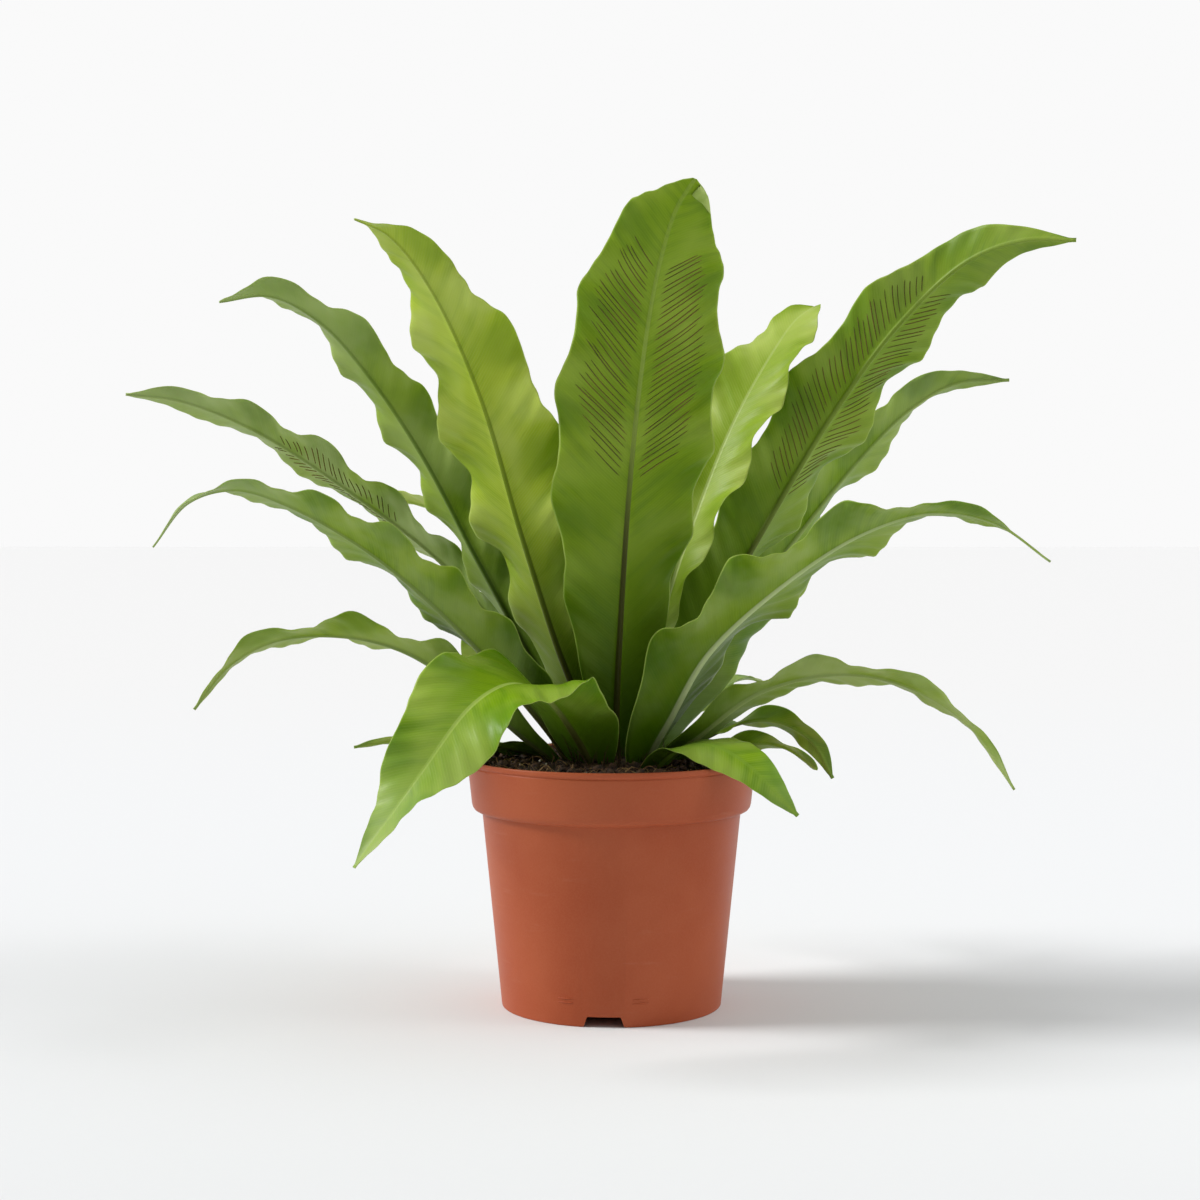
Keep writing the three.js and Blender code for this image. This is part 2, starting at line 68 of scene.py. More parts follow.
# Frond sizes that every frond shares
STALK_HALF_WIDTH = 2.4
STALK_THICKNESS = 1.2
SOLID_BLADE_THICKNESS = 0.75
BLADE_THICKNESS = 0.42
EDGE_THICKNESS = 0.14
RIB_DEPTH_FOOT = 1.6
RIB_DEPTH_TIP = 0.3
RIB_HALF_WIDTH = 1.3
RIB_CREST = 0.28
WAVE_START = 0.08
WAVE_FULL = 0.4
ROW_STEP = 1.5
RIB_COLUMNS = (0, 0.3, 0.6, 0.85, 1.1, 1.4)
VEIN_SPACING = 1.3
VEIN_SLOPE = 0.85
RIPPLE_HEIGHT = 0.5
RIPPLE_LENGTH = 11
RIPPLE_FULL_WIDTH = 16
CURVE_STEPS = 100
EDGE_COLUMN = 0.965

# Each frond is a waved strap along a spine that runs from the stalk's foot to the tip, in mm.
# facing: compass direction in which it leaves the crown, degrees from +X.
# half: widest half-width. swell: how late the blade widens and how early it narrows.
# roll, fold: turn about the spine and rise of each half blade, degrees at even steps.
# left, right: each edge's waves, as how far they turn the edge in degrees, the share of the width by
# which the outline swells and shrinks with them, the first top's place along the blade, from 0 at the foot
# to 1 at the tip, and the step from top to top.
FRONDS = [
    {
        "name": "frond_01", "slot": "leaf_green", "facing": -90,
        "half": 31, "swell": [1.1, 0.75], "roll": [0, 20, 0, -10], "fold": [5, 5],
        "left": [15, 0.06, -0.02, 0.15], "right": [15, 0.06, 0.05, 0.15],
        "spine": [
            [4, -9, 91], [2, -14, 115], [4, -30, 170], [8, -45, 225],
            [14, -60, 275], [19, -74, 300], [24, -90, 315], [30, -106, 323],
        ],
    },
    {
        "name": "frond_02", "slot": "leaf_pale", "facing": -125,
        "half": 26, "swell": [0.9, 0.8], "roll": [10, 0, 10, -5], "fold": [20, 10],
        "left": [20, 0.08, 0.06, 0.16], "right": [25, 0.06, 0, 0.18],
        "spine": [
            [-4, -5, 91], [-9, -8, 115], [-22, -15, 150], [-36, -26, 195],
            [-52, -38, 250], [-70, -52, 290], [-85, -62, 309], [-97, -70, 314],
        ],
    },
    {
        "name": "frond_03", "slot": "leaf_green", "facing": -165,
        "half": 15, "swell": [0.8, 0.5], "roll": [20, 30, 40, 10], "fold": [15, 20],
        "left": [22, 0.1, 0.05, 0.13], "right": [30, 0.1, 0.08, 0.14],
        "spine": [
            [-6, 2, 91], [-15, 5, 113], [-37, 8, 150], [-56, 5, 185], [-77, -4, 226],
            [-97, -14, 257], [-116, -24, 279], [-135, -32, 289], [-154, -40, 286],
        ],
    },
    {
        "name": "frond_04", "slot": "leaf_green", "facing": 178,
        "half": 15, "swell": [1, 0.8], "roll": [15, 20, 35, 45], "fold": [10, 15],
        "left": [20, 0.1, 0, 0.2], "right": [25, 0.12, 0.05, 0.125],
        "spine": [
            [-10, 9, 91], [-19, 18, 111], [-38, 29, 140], [-70, 32, 180],
            [-110, 23, 212], [-150, 18, 238], [-180, 15, 250], [-203, 12, 253],
        ],
    },
    {
        "name": "frond_05", "slot": "leaf_green", "facing": -162,
        "half": 21, "swell": [0.75, 1.1], "roll": [10, 20, 20, 0], "fold": [25, 5],
        "left": [18, 0.08, 0.1, 0.2], "right": [15, 0.08, 0.07, 0.125],
        "spine": [
            [-12, -6, 91], [-20, -9, 107], [-35, -17, 127], [-65, -32, 161], [-95, -45, 188],
            [-125, -55, 206], [-145, -60, 212], [-162, -64, 207], [-175, -68, 190],
        ],
    },
    {
        "name": "frond_06", "slot": "leaf_green", "facing": -172,
        "half": 15, "swell": [1, 1], "roll": [10, 20, 20, 25], "fold": [25, 5],
        "left": [15, 0.06, 0.05, 0.2], "right": [30, 0.15, 0, 0.2],
        "spine": [
            [-18, -3, 91], [-24, -5, 102], [-35, -7, 111], [-60, -13, 132], [-85, -19, 148],
            [-110, -24, 154], [-135, -29, 152], [-153, -32, 142], [-166, -35, 125],
        ],
    },
    {
        "name": "frond_07", "slot": "leaf_bright", "facing": -125,
        "half": 25, "swell": [0.7, 1], "roll": [20, -10, -25, 10], "fold": [20, 10],
        "left": [15, 0.05, 0.15, 0.2], "right": [20, 0.05, 0.1, 0.25],
        "spine": [
            [-6, -16, 91], [-9, -20, 103], [-15, -31, 116], [-25, -50, 131],
            [-38, -73, 138], [-52, -92, 131], [-70, -107, 107], [-92, -122, 76],
        ],
    },
    {
        "name": "frond_08", "slot": "leaf_green", "facing": 178,
        "half": 10.5, "swell": [0.6, 0.9], "roll": [10, 20, 30, 35], "fold": [5, 5],
        "left": [30, 0.05, 0.1, 0.4], "right": [30, 0.05, 0.2, 0.4],
        "spine": [
            [-19, 6, 91], [-24, 9, 100], [-40, 8, 105],
            [-65, 3, 110], [-85, -2, 110], [-106, -6, 107],
        ],
    },
    {
        "name": "frond_09", "slot": "leaf_pale", "facing": 60,
        "half": 18, "swell": [1.2, 0.35], "roll": [0, -5, 0, -10], "fold": [35, 5],
        "left": [20, 0.05, 0.1, 0.15], "right": [25, 0.1, 0, 0.2],
        "spine": [
            [3, -1, 91], [12, -5, 121], [21, -6, 160], [35, -6, 203],
            [50, -3, 240], [65, 5, 267], [77, 13, 284], [85, 18, 290],
        ],
    },
    {
        "name": "frond_10", "slot": "leaf_green", "facing": -12,
        "half": 23, "swell": [1, 1], "roll": [-50, -40, -60, -80], "fold": [30, 20],
        "left": [20, 0.12, 0.1, 0.15], "right": [20, 0.12, 0.05, 0.15],
        "spine": [
            [11, 1, 91], [20, 6, 115], [35, 11, 147], [60, 11, 191], [90, 2, 242],
            [115, -14, 278], [140, -32, 302], [160, -44, 309], [179, -53, 308],
        ],
    },
    {
        "name": "frond_11", "slot": "leaf_green", "facing": 12,
        "half": 23, "swell": [0.8, 1], "roll": [-65, -75, -45, -45], "fold": [15, 20],
        "left": [30, 0.1, 0.1, 0.15], "right": [30, 0.05, 0.1, 0.25],
        "spine": [
            [12, 9, 91], [21, 17, 111], [39, 31, 140], [70, 43, 180],
            [105, 48, 224], [130, 48, 249], [150, 47, 260], [172, 45, 261],
        ],
    },
    {
        "name": "frond_12", "slot": "leaf_green", "facing": -38,
        "half": 24, "swell": [0.7, 1.2], "roll": [0, -10, -15, -25], "fold": [20, 5],
        "left": [30, 0.15, 0.25, 0.2], "right": [25, 0.15, 0.1, 0.22],
        "spine": [
            [11, -11, 91], [15, -14, 105], [23, -20, 120], [38, -33, 147], [65, -51, 174],
            [95, -68, 195], [120, -80, 203], [142, -90, 199], [161, -97, 185],
        ],
    },
    {
        "name": "frond_13", "slot": "leaf_green", "facing": -22,
        "half": 11.5, "swell": [0.8, 1], "roll": [-25, -25, -30, -40], "fold": [5, 5],
        "left": [30, 0.1, 0.05, 0.22], "right": [15, 0.05, 0.05, 0.2],
        "spine": [
            [17, -4, 91], [22, -8, 102], [35, -15, 113], [60, -27, 132],
            [90, -42, 140], [115, -55, 136], [138, -66, 121], [153, -73, 98],
        ],
    },
    {
        "name": "frond_14", "slot": "leaf_green", "facing": 10,
        "half": 8.5, "swell": [1, 0.9], "roll": [-5, 0, -35, -60], "fold": [10, 5],
        "left": [30, 0.05, 0.25, 0.35], "right": [20, 0.1, 0.1, 0.3],
        "spine": [
            [17, 9, 91], [23, 10, 101], [38, 11, 109], [55, 12, 116],
            [70, 13, 116], [84, 13, 108], [93, 13, 92],
        ],
    },
    {
        "name": "frond_15", "slot": "leaf_green", "facing": -8,
        "half": 7.5, "swell": [1, 0.5], "roll": [-25, -30, -30, -20], "fold": [5, 5],
        "left": [30, 0.05, 0.25, 0.35], "right": [25, 0.05, 0.3, 0.5],
        "spine": [
            [19, 2, 91], [25, 1, 99], [38, -3, 104],
            [55, -8, 109], [70, -11, 108], [84, -15, 99],
        ],
    },
    {
        "name": "frond_16", "slot": "leaf_bright", "facing": -48,
        "half": 12, "swell": [0.6, 0.9], "roll": [0, 10, 30, 45], "fold": [5, 5],
        "left": [25, 0.1, 0.1, 0.9], "right": [30, 0.1, 0, 0.9],
        "spine": [
            [13, -17, 91], [18, -21, 101], [27, -27, 109], [40, -37, 111],
            [54, -48, 104], [65, -56, 93], [72, -59, 86],
        ],
    },
    {
        "name": "frond_17", "slot": "leaf_pale", "facing": 150,
        "half": 16, "swell": [0.8, 0.8], "roll": [0, 20, 30, 30], "fold": [15, 10],
        "left": [25, 0.05, 0.1, 0.25], "right": [25, 0.05, 0.2, 0.25],
        "spine": [
            [-5, 14, 91], [-12, 22, 118], [-30, 38, 158],
            [-54, 52, 188], [-80, 64, 206], [-112, 78, 212],
        ],
    },
    {
        "name": "frond_18", "slot": "leaf_pale", "facing": 100,
        "half": 17, "swell": [0.9, 0.7], "roll": [0, 0, 0, 0], "fold": [15, 10],
        "left": [25, 0.05, 0.1, 0.25], "right": [25, 0.05, 0.2, 0.25],
        "spine": [
            [-3, 8, 91], [-6, 14, 123], [-9, 24, 168], [-9, 37, 213],
            [-6, 52, 248], [-1, 68, 273], [6, 86, 288],
        ],
    },
    {
        "name": "frond_19", "slot": "leaf_green", "facing": 75,
        "half": 16, "swell": [0.9, 0.7], "roll": [0, 0, 0, 0], "fold": [15, 10],
        "left": [25, 0.05, 0.2, 0.3], "right": [25, 0.05, 0.05, 0.3],
        "spine": [
            [4, 13, 91], [6, 26, 128], [10, 43, 173],
            [17, 61, 208], [24, 79, 233], [30, 98, 248],
        ],
    },
    {
        "name": "frond_20", "slot": "leaf_green", "facing": 120,
        "half": 13, "swell": [0.8, 0.7], "roll": [0, 10, 10, 0], "fold": [15, 10],
        "left": [25, 0.05, 0, 0.3], "right": [25, 0.05, 0.15, 0.3],
        "spine": [
            [-14, 16, 91], [-19, 24, 105], [-29, 42, 129], [-41, 62, 148],
            [-52, 86, 153], [-61, 112, 141], [-66, 130, 121],
        ],
    },
    {
        "name": "frond_21", "slot": "leaf_green", "facing": 50,
        "half": 9, "swell": [0.8, 0.7], "roll": [0, 0, 0, 0], "fold": [10, 5],
        "left": [25, 0.05, 0.3, 0.4], "right": [25, 0.05, 0.1, 0.4],
        "spine": [
            [12, 16, 91], [16, 26, 101], [32, 49, 116],
            [48, 69, 126], [62, 86, 129], [74, 100, 124],
        ],
    },
    {
        "name": "frond_22", "slot": "leaf_green", "facing": 92,
        "half": 14, "swell": [0.8, 0.7], "roll": [0, 0, 0, 0], "fold": [15, 10],
        "left": [25, 0.05, 0.15, 0.3], "right": [25, 0.05, 0, 0.3],
        "spine": [
            [1, 20, 91], [1, 27, 107], [-1, 46, 133], [-2, 71, 151],
            [-2, 98, 155], [0, 124, 143], [2, 144, 121],
        ],
    },
]

# Runs of spore cases on the undersides. Each has the part of the blade where its lines leave the
# midrib, how many lines it has on each side and how far out they reach, as a share of the half-width.
SORI = {
    "frond_01": {"start": 0.50, "end": 0.82, "count": 32, "reach": 0.8},
    "frond_04": {"start": 0.53, "end": 0.74, "count": 20, "reach": 0.62},
    "frond_10": {"start": 0.45, "end": 0.78, "count": 34, "reach": 0.76},
}
TIP_FOLD_START = 0.93
TIP_FOLD_END = 0.992
TIP_FOLD_WIDTH = 6
SORUS_HALF_WIDTH = 0.21
SORUS_HEIGHT = 0.22
SORUS_STEPS = 12
SORI_SEED = 8

# Loose bits on the mix and round the crown: how many, the seeds of their draws, and how far out they lie
CRUMB_COUNT = 900
GRIT_COUNT = 70
CRUMB_SEED = 7
FIBRE_COUNT = 230
FIBRE_SEED = 11
SCALE_COUNT = 260
SCALE_SEED = 5
LOOSE_REACH = 55

# Two lines above the foot on each side of the front notch: directions, heights, half-angle and radius
FOOT_MARK_DIRECTIONS = (-113, -75.5)
FOOT_MARK_HEIGHTS = (9.6, 11.2)
FOOT_MARK_HALF_ANGLE = 4
FOOT_MARK_RADIUS = 0.32

# Soft lights: strength, width of the light, heading from +X and height above the horizon, in degrees
SUNS = {
    "left_window": (2.8, 20, 181, 35),
    "right_window": (0.35, 16, -10, 40),
}


# Shapes of a frond

def eased(values, t):
    """A value that eases through a list of numbers as t goes from 0 to 1."""
    values = np.asarray(values, float)
    last = len(values) - 1
    step = np.minimum(np.floor(t * last).astype(int), last - 1)
    part = t * last - step
    blend = part * part * (3 - 2 * part)
    return values[step] * (1 - blend) + values[step + 1] * blend


def smoothstep(x, low, high):
    share = np.clip((x - low) / (high - low), 0, 1)
    return share * share * (3 - 2 * share)


def half_width(frond, t):
    """Half-width of a frond at t, from the stalk through its widest place to the tip."""
    rise, fall = frond["swell"]
    widest = rise / (rise + fall)
    blade = frond["half"] * (t / widest) ** rise * ((1 - t) / (1 - widest)) ** fall
    stalk = STALK_HALF_WIDTH * (1 - t) ** 0.4
    return np.maximum(np.maximum(blade, stalk), SOLID_BLADE_THICKNESS)


def smooth_curve(points):
    """A centripetal Catmull-Rom curve through the points, as points at even lengths."""
    points = np.asarray(points, float)
    ends = np.vstack([2 * points[0] - points[1], points, 2 * points[-1] - points[-2]])
    pieces = []
    for span in range(1, len(ends) - 2):
        a, b, c, d = ends[span - 1:span + 3]
        ta = 0.0
        tb = ta + np.linalg.norm(b - a) ** 0.5
        tc = tb + np.linalg.norm(c - b) ** 0.5
        td = tc + np.linalg.norm(d - c) ** 0.5
        x = np.linspace(tb, tc, CURVE_STEPS, endpoint=False)[:, None]
        ab = (tb - x) / (tb - ta) * a + (x - ta) / (tb - ta) * b
        bc = (tc - x) / (tc - tb) * b + (x - tb) / (tc - tb) * c
        cd = (td - x) / (td - tc) * c + (x - tc) / (td - tc) * d
        abc = (tc - x) / (tc - ta) * ab + (x - ta) / (tc - ta) * bc
        bcd = (td - x) / (td - tb) * bc + (x - tb) / (td - tb) * cd
        pieces.append((tc - x) / (tc - tb) * abc + (x - tb) / (tc - tb) * bcd)
    curve = np.vstack(pieces + [points[-1:]])
    lengths = np.concatenate([[0], np.cumsum(np.linalg.norm(np.diff(curve, axis=0), axis=1))])
    even = np.linspace(0, lengths[-1], len(curve))
    return np.stack([np.interp(even, lengths, curve[:, k]) for k in range(3)], -1), lengths[-1]


def unit(vectors):
    return vectors / np.linalg.norm(vectors, axis=-1, keepdims=True)


class Blade:
    """The curved sheet of one frond: places on it by t, along it, and q, from the midrib to an edge."""

    def __init__(self, frond):
        self.frond = frond
        self.points, self.length = smooth_curve(frond["spine"])
        self.steps = np.linspace(0, 1, len(self.points))
        along = unit(np.gradient(self.points, axis=0))
        facing = math.radians(frond["facing"])
        level = np.array([-math.sin(facing), math.cos(facing), 0])
        across = unit(level - (along @ level)[:, None] * along)
        up = np.cross(along, across)
        roll = np.radians(eased(frond["roll"], self.steps))[:, None]
        self.across = across * np.cos(roll) + up * np.sin(roll)
        self.up = np.cross(along, self.across)

    def read(self, table, t):
        return np.stack([np.interp(t, self.steps, table[:, k]) for k in range(3)], -1)

    def wave(self, t, side):
        """How far an edge wave turns the blade, in radians, and the half-width that it leaves."""
        degrees, lobe, first_top, step = self.frond["right" if side > 0 else "left"]
        strength = smoothstep(t, WAVE_START, WAVE_FULL)
        turn = 2 * math.pi * (t - first_top) / step
        wave = math.radians(degrees) * strength * np.cos(turn)
        span = half_width(self.frond, t) * (1 + lobe * strength * np.sin(turn))
        return wave, span

    def ripple(self, t, q, side, span):
        """Low ripples that follow the veins, in mm, strongest near the edge of a wide blade."""
        turn = 2 * math.pi * (t * self.length - VEIN_SLOPE * q * span) / RIPPLE_LENGTH
        shape = np.sin(turn + side) + 0.7 * np.sin(0.37 * turn + 2 * side)
        width = np.minimum(span / RIPPLE_FULL_WIDTH, 1)
        return RIPPLE_HEIGHT * width * shape * smoothstep(q, 0.1, 0.9) * smoothstep(t, WAVE_START, WAVE_FULL)

    def place(self, t, q, side, rise=0.0):
        """Points of the blade's upper face, lifted by rise along its normal, and those normals."""
        wave, span = self.wave(t, side)
        rise = rise + self.ripple(t, q, side, span)
        fold = np.radians(eased(self.frond["fold"], t))
        middle = fold + wave * q / 2
        reach = span * q * np.sinc(wave * q / (2 * math.pi))
        angle = fold + wave * q
        across = self.read(self.across, t)
        up = self.read(self.up, t)
        normal = up * np.cos(angle)[..., None] - side * across * np.sin(angle)[..., None]
        point = self.read(self.points, t)
        point = point + side * across * (reach * np.cos(middle))[..., None]
        point = point + up * (reach * np.sin(middle))[..., None]
        return point + normal * rise[..., None], normal


def rib_profile(x, reach):
    """How far a midrib stands out at x from its middle, from 1 down to 0 at its foot."""
    return np.clip(1 - (x / reach) ** 2, 0, 1) ** 1.5


def blade_sheet(blade, rows, columns):
    """The upper and lower faces of a frond as two grids of points, with what the materials read there."""
    frond = blade.frond
    t_row = np.linspace(0, 1, rows + 1)
    width = half_width(frond, t_row)
    rib_half = np.minimum(RIB_HALF_WIDTH * (1 - 0.5 * t_row), width * 0.38)
    rib_depth = RIB_DEPTH_TIP + (RIB_DEPTH_FOOT - RIB_DEPTH_TIP) * (1 - t_row)
    stalk = np.clip(1 - t_row / 0.3, 0, 1)
    thickness = BLADE_THICKNESS + (STALK_THICKNESS - BLADE_THICKNESS) * stalk
    rib_q = np.outer(rib_half / width, RIB_COLUMNS)
    shares = np.linspace(0, 1, columns + 1)[1:] ** 0.9
    shares = np.append(shares[:-1], [EDGE_COLUMN, 1.0])
    outer_q = rib_q[:, -1:] + (1 - rib_q[:, -1:]) * shares
    q = np.hstack([rib_q, outer_q])
    t = np.repeat(t_row[:, None], q.shape[1], axis=1)
    halves = []
    for side in (-1, 1):
        wave, span = blade.wave(t, side)
        x = q * span
        edge = smoothstep(q, 0.9, 1.0)
        rib = rib_profile(x, 1.35 * rib_half[:, None])
        thin = thickness[:, None] * (1 - edge) + EDGE_THICKNESS * edge
        upper, _ = blade.place(t, q, side, RIB_CREST * rib * (1 - t))
        lower, _ = blade.place(t, q, side, -thin - rib_depth[:, None] * rib)
        size = np.stack([side * x, t * blade.length, wave * q], -1)
        spot = np.stack([t, q, np.zeros_like(t)], -1)
        if side < 0:
            halves.append([grid[:, :0:-1] for grid in (upper, lower, size, spot)])
        else:
            halves.append([upper, lower, size, spot])
    return [np.concatenate([left, right], axis=1) for left, right in zip(*halves)]


def closed_sheet_faces(rows, columns):
    """Quads of a sheet with two faces, each a grid of rows x columns points, and of its four edges."""
    upper = np.arange(rows * columns).reshape(rows, columns)
    lower = upper + rows * columns
    quads = []
    for face, order in ((upper, (0, 1, 2, 3)), (lower, (0, 3, 2, 1))):
        corners = np.stack([face[:-1, :-1], face[1:, :-1], face[1:, 1:], face[:-1, 1:]], -1)
        quads.append(corners[..., order].reshape(-1, 4))
    sides = [(upper[:, 0], lower[:, 0]), (lower[:, -1], upper[:, -1])]
    ends = [(lower[0], upper[0]), (upper[-1], lower[-1])]
    for near, far in sides + ends:
        quads.append(np.stack([near[:-1], far[:-1], far[1:], near[1:]], -1))
    return np.concatenate(quads)


def ring_quads(rings, count):
    """Quads that join each ring of count points to the next one."""
    quads = []
    for ring in range(rings - 1):
        for k in range(count):
            a = ring * count + k
            b = ring * count + (k + 1) % count
            quads.append((a, b, b + count, a + count))
    return quads


def mesh_object(name, points, faces, material, smooth=True):
    """A mesh object from points in millimetres and lists of corners."""
    mesh = bpy.data.meshes.new(name)
    mesh.from_pydata((np.asarray(points, float) * MM).tolist(), [], [list(map(int, face)) for face in faces])
    mesh.polygons.foreach_set("use_smooth", [smooth] * len(mesh.polygons))
    mesh.materials.append(material)
    mesh.update()
    found = bpy.data.objects.new(name, mesh)
    bpy.context.scene.collection.objects.link(found)
    return found


def joined(name, shapes, material, smooth=True):
    """One mesh object from many shapes, each given as points and faces."""
    points, faces = [], []
    for shape_points, shape_faces in shapes:
        faces += [tuple(len(points) + corner for corner in face) for face in shape_faces]
        points += [tuple(point) for point in shape_points]
    return mesh_object(name, points, faces, material, smooth)


def read_points(piece):
    """The points of a piece's mesh, in millimetres."""
    points = np.empty(len(piece.data.vertices) * 3)
    piece.data.vertices.foreach_get("co", points)
    return points.reshape(-1, 3) / MM


def move_points(piece, points):
    """Puts the points of a piece's mesh at new places, in millimetres."""
    piece.data.vertices.foreach_set("co", (points * MM).ravel())
    piece.data.update()


def store(mesh, name, vectors):
    """Keeps a vector for each point of a mesh, for its material to read."""
    attribute = mesh.attributes.new(name, "FLOAT_VECTOR", "POINT")
    attribute.data.foreach_set("vector", np.asarray(vectors, np.float32).ravel())


def build_frond(frond, material):
    blade = Blade(frond)
    rows = int(blade.length / ROW_STEP)
    columns = 16 if frond["half"] > 12 else 11
    upper, lower, size, spot = blade_sheet(blade, rows, columns)
    under = spot + np.array([0, 0, 1.0])
    points = np.concatenate([upper.reshape(-1, 3), lower.reshape(-1, 3)])
    faces = closed_sheet_faces(*upper.shape[:2])
    made = mesh_object(frond["name"] + "_blade", points, faces, material)
    store(made.data, "blade_size", np.concatenate([size.reshape(-1, 3), size.reshape(-1, 3)]))
    store(made.data, "blade_spot", np.concatenate([spot.reshape(-1, 3), under.reshape(-1, 3)]))
    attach(made, "root")
    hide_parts(frond["name"])
    return blade


def sorus(blade, side, t_start, t_end, q_start, q_end, draw):
    """One spore case: a low ridge on the underside along a vein, as points and faces."""
    share = np.linspace(0, 1, SORUS_STEPS + 1)
    t = t_start + (t_end - t_start) * share
    q = q_start + (q_end - q_start) * share
    ends = np.sqrt(np.clip(1 - (2 * share - 1) ** 8, 0, 1))
    half = SORUS_HALF_WIDTH * (0.25 + 0.75 * ends) * draw.uniform(0.85, 1.15)
    height = SORUS_HEIGHT * ends + 0.02
    middle, normal = blade.place(t, q, side, -BLADE_THICKNESS + 0.1)
    along = unit(np.gradient(middle, axis=0))
    sideways = np.cross(normal, along)
    rings = []
    for x, y in ((-1, 0), (-0.75, 0.75), (0, 1), (0.75, 0.75), (1, 0)):
        rings.append(middle + sideways * (x * half)[:, None] - normal * (y * (height + 0.1))[:, None])
    points = np.stack(rings, 1)
    count = points.shape[1]
    faces = ring_quads(len(points), count)
    last = SORUS_STEPS * count
    faces.append(tuple(range(count))[::-1])
    faces.append(tuple(last + k for k in range(count)))
    return points.reshape(-1, 3), faces


def build_tip_fold(blade, material):
    """The small corner of a blade that is folded over near its tip, on the underside of the right edge."""
    t = np.repeat(np.linspace(TIP_FOLD_START, TIP_FOLD_END, 13)[:, None], 7, axis=1)
    share = np.repeat(np.linspace(0, 1, 7)[None, :], 13, axis=0)
    along = (t - TIP_FOLD_START) / (TIP_FOLD_END - TIP_FOLD_START)
    width = TIP_FOLD_WIDTH * np.minimum(along / 0.6, (1.04 - along) / 0.44)
    q = 1 - share * np.clip(width / half_width(blade.frond, t), 0, 0.95)
    lift = 0.45 + 0.9 * np.sin(math.pi * share) ** 0.6 + 0.5 * share
    outer, _ = blade.place(t, q, 1, -lift - 0.12)
    inner, _ = blade.place(t, q, 1, -lift + 0.12)
    points = np.concatenate([inner.reshape(-1, 3), outer.reshape(-1, 3)])
    made = mesh_object(blade.frond["name"] + "_tip_fold", points, closed_sheet_faces(13, 7), material)
    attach(made, "root")


def build_sori(blade, run, material):
    draw = random.Random(SORI_SEED + run["count"])
    shapes = []
    for side in (-1, 1):
        for number in range(run["count"]):
            share = (number + draw.uniform(-0.12, 0.12)) / (run["count"] - 1)
            t_start = run["start"] + (run["end"] - run["start"]) * share
            width = float(half_width(blade.frond, np.array(t_start)))
            q_start = draw.uniform(0.09, 0.15)
            shape = 0.75 + 0.25 * math.sin(math.pi * min(max(share, 0), 1)) ** 0.5
            q_end = run["reach"] * shape * draw.uniform(0.86, 1.04)
            slope = VEIN_SLOPE * (q_end - q_start) * width / blade.length
            shapes.append(sorus(blade, side, t_start, t_start + slope, q_start, q_end, draw))
    made = joined(blade.frond["name"] + "_sori", shapes, material)
    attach(made, "root")


# Materials

def colour(code):
    """A colour written as RRGGBB, as the linear numbers that a shader takes."""
    parts = [int(code[k:k + 2], 16) / 255 for k in (0, 2, 4)]
    linear = [c / 12.92 if c <= 0.04045 else ((c + 0.055) / 1.055) ** 2.4 for c in parts]
    return (*linear, 1.0)


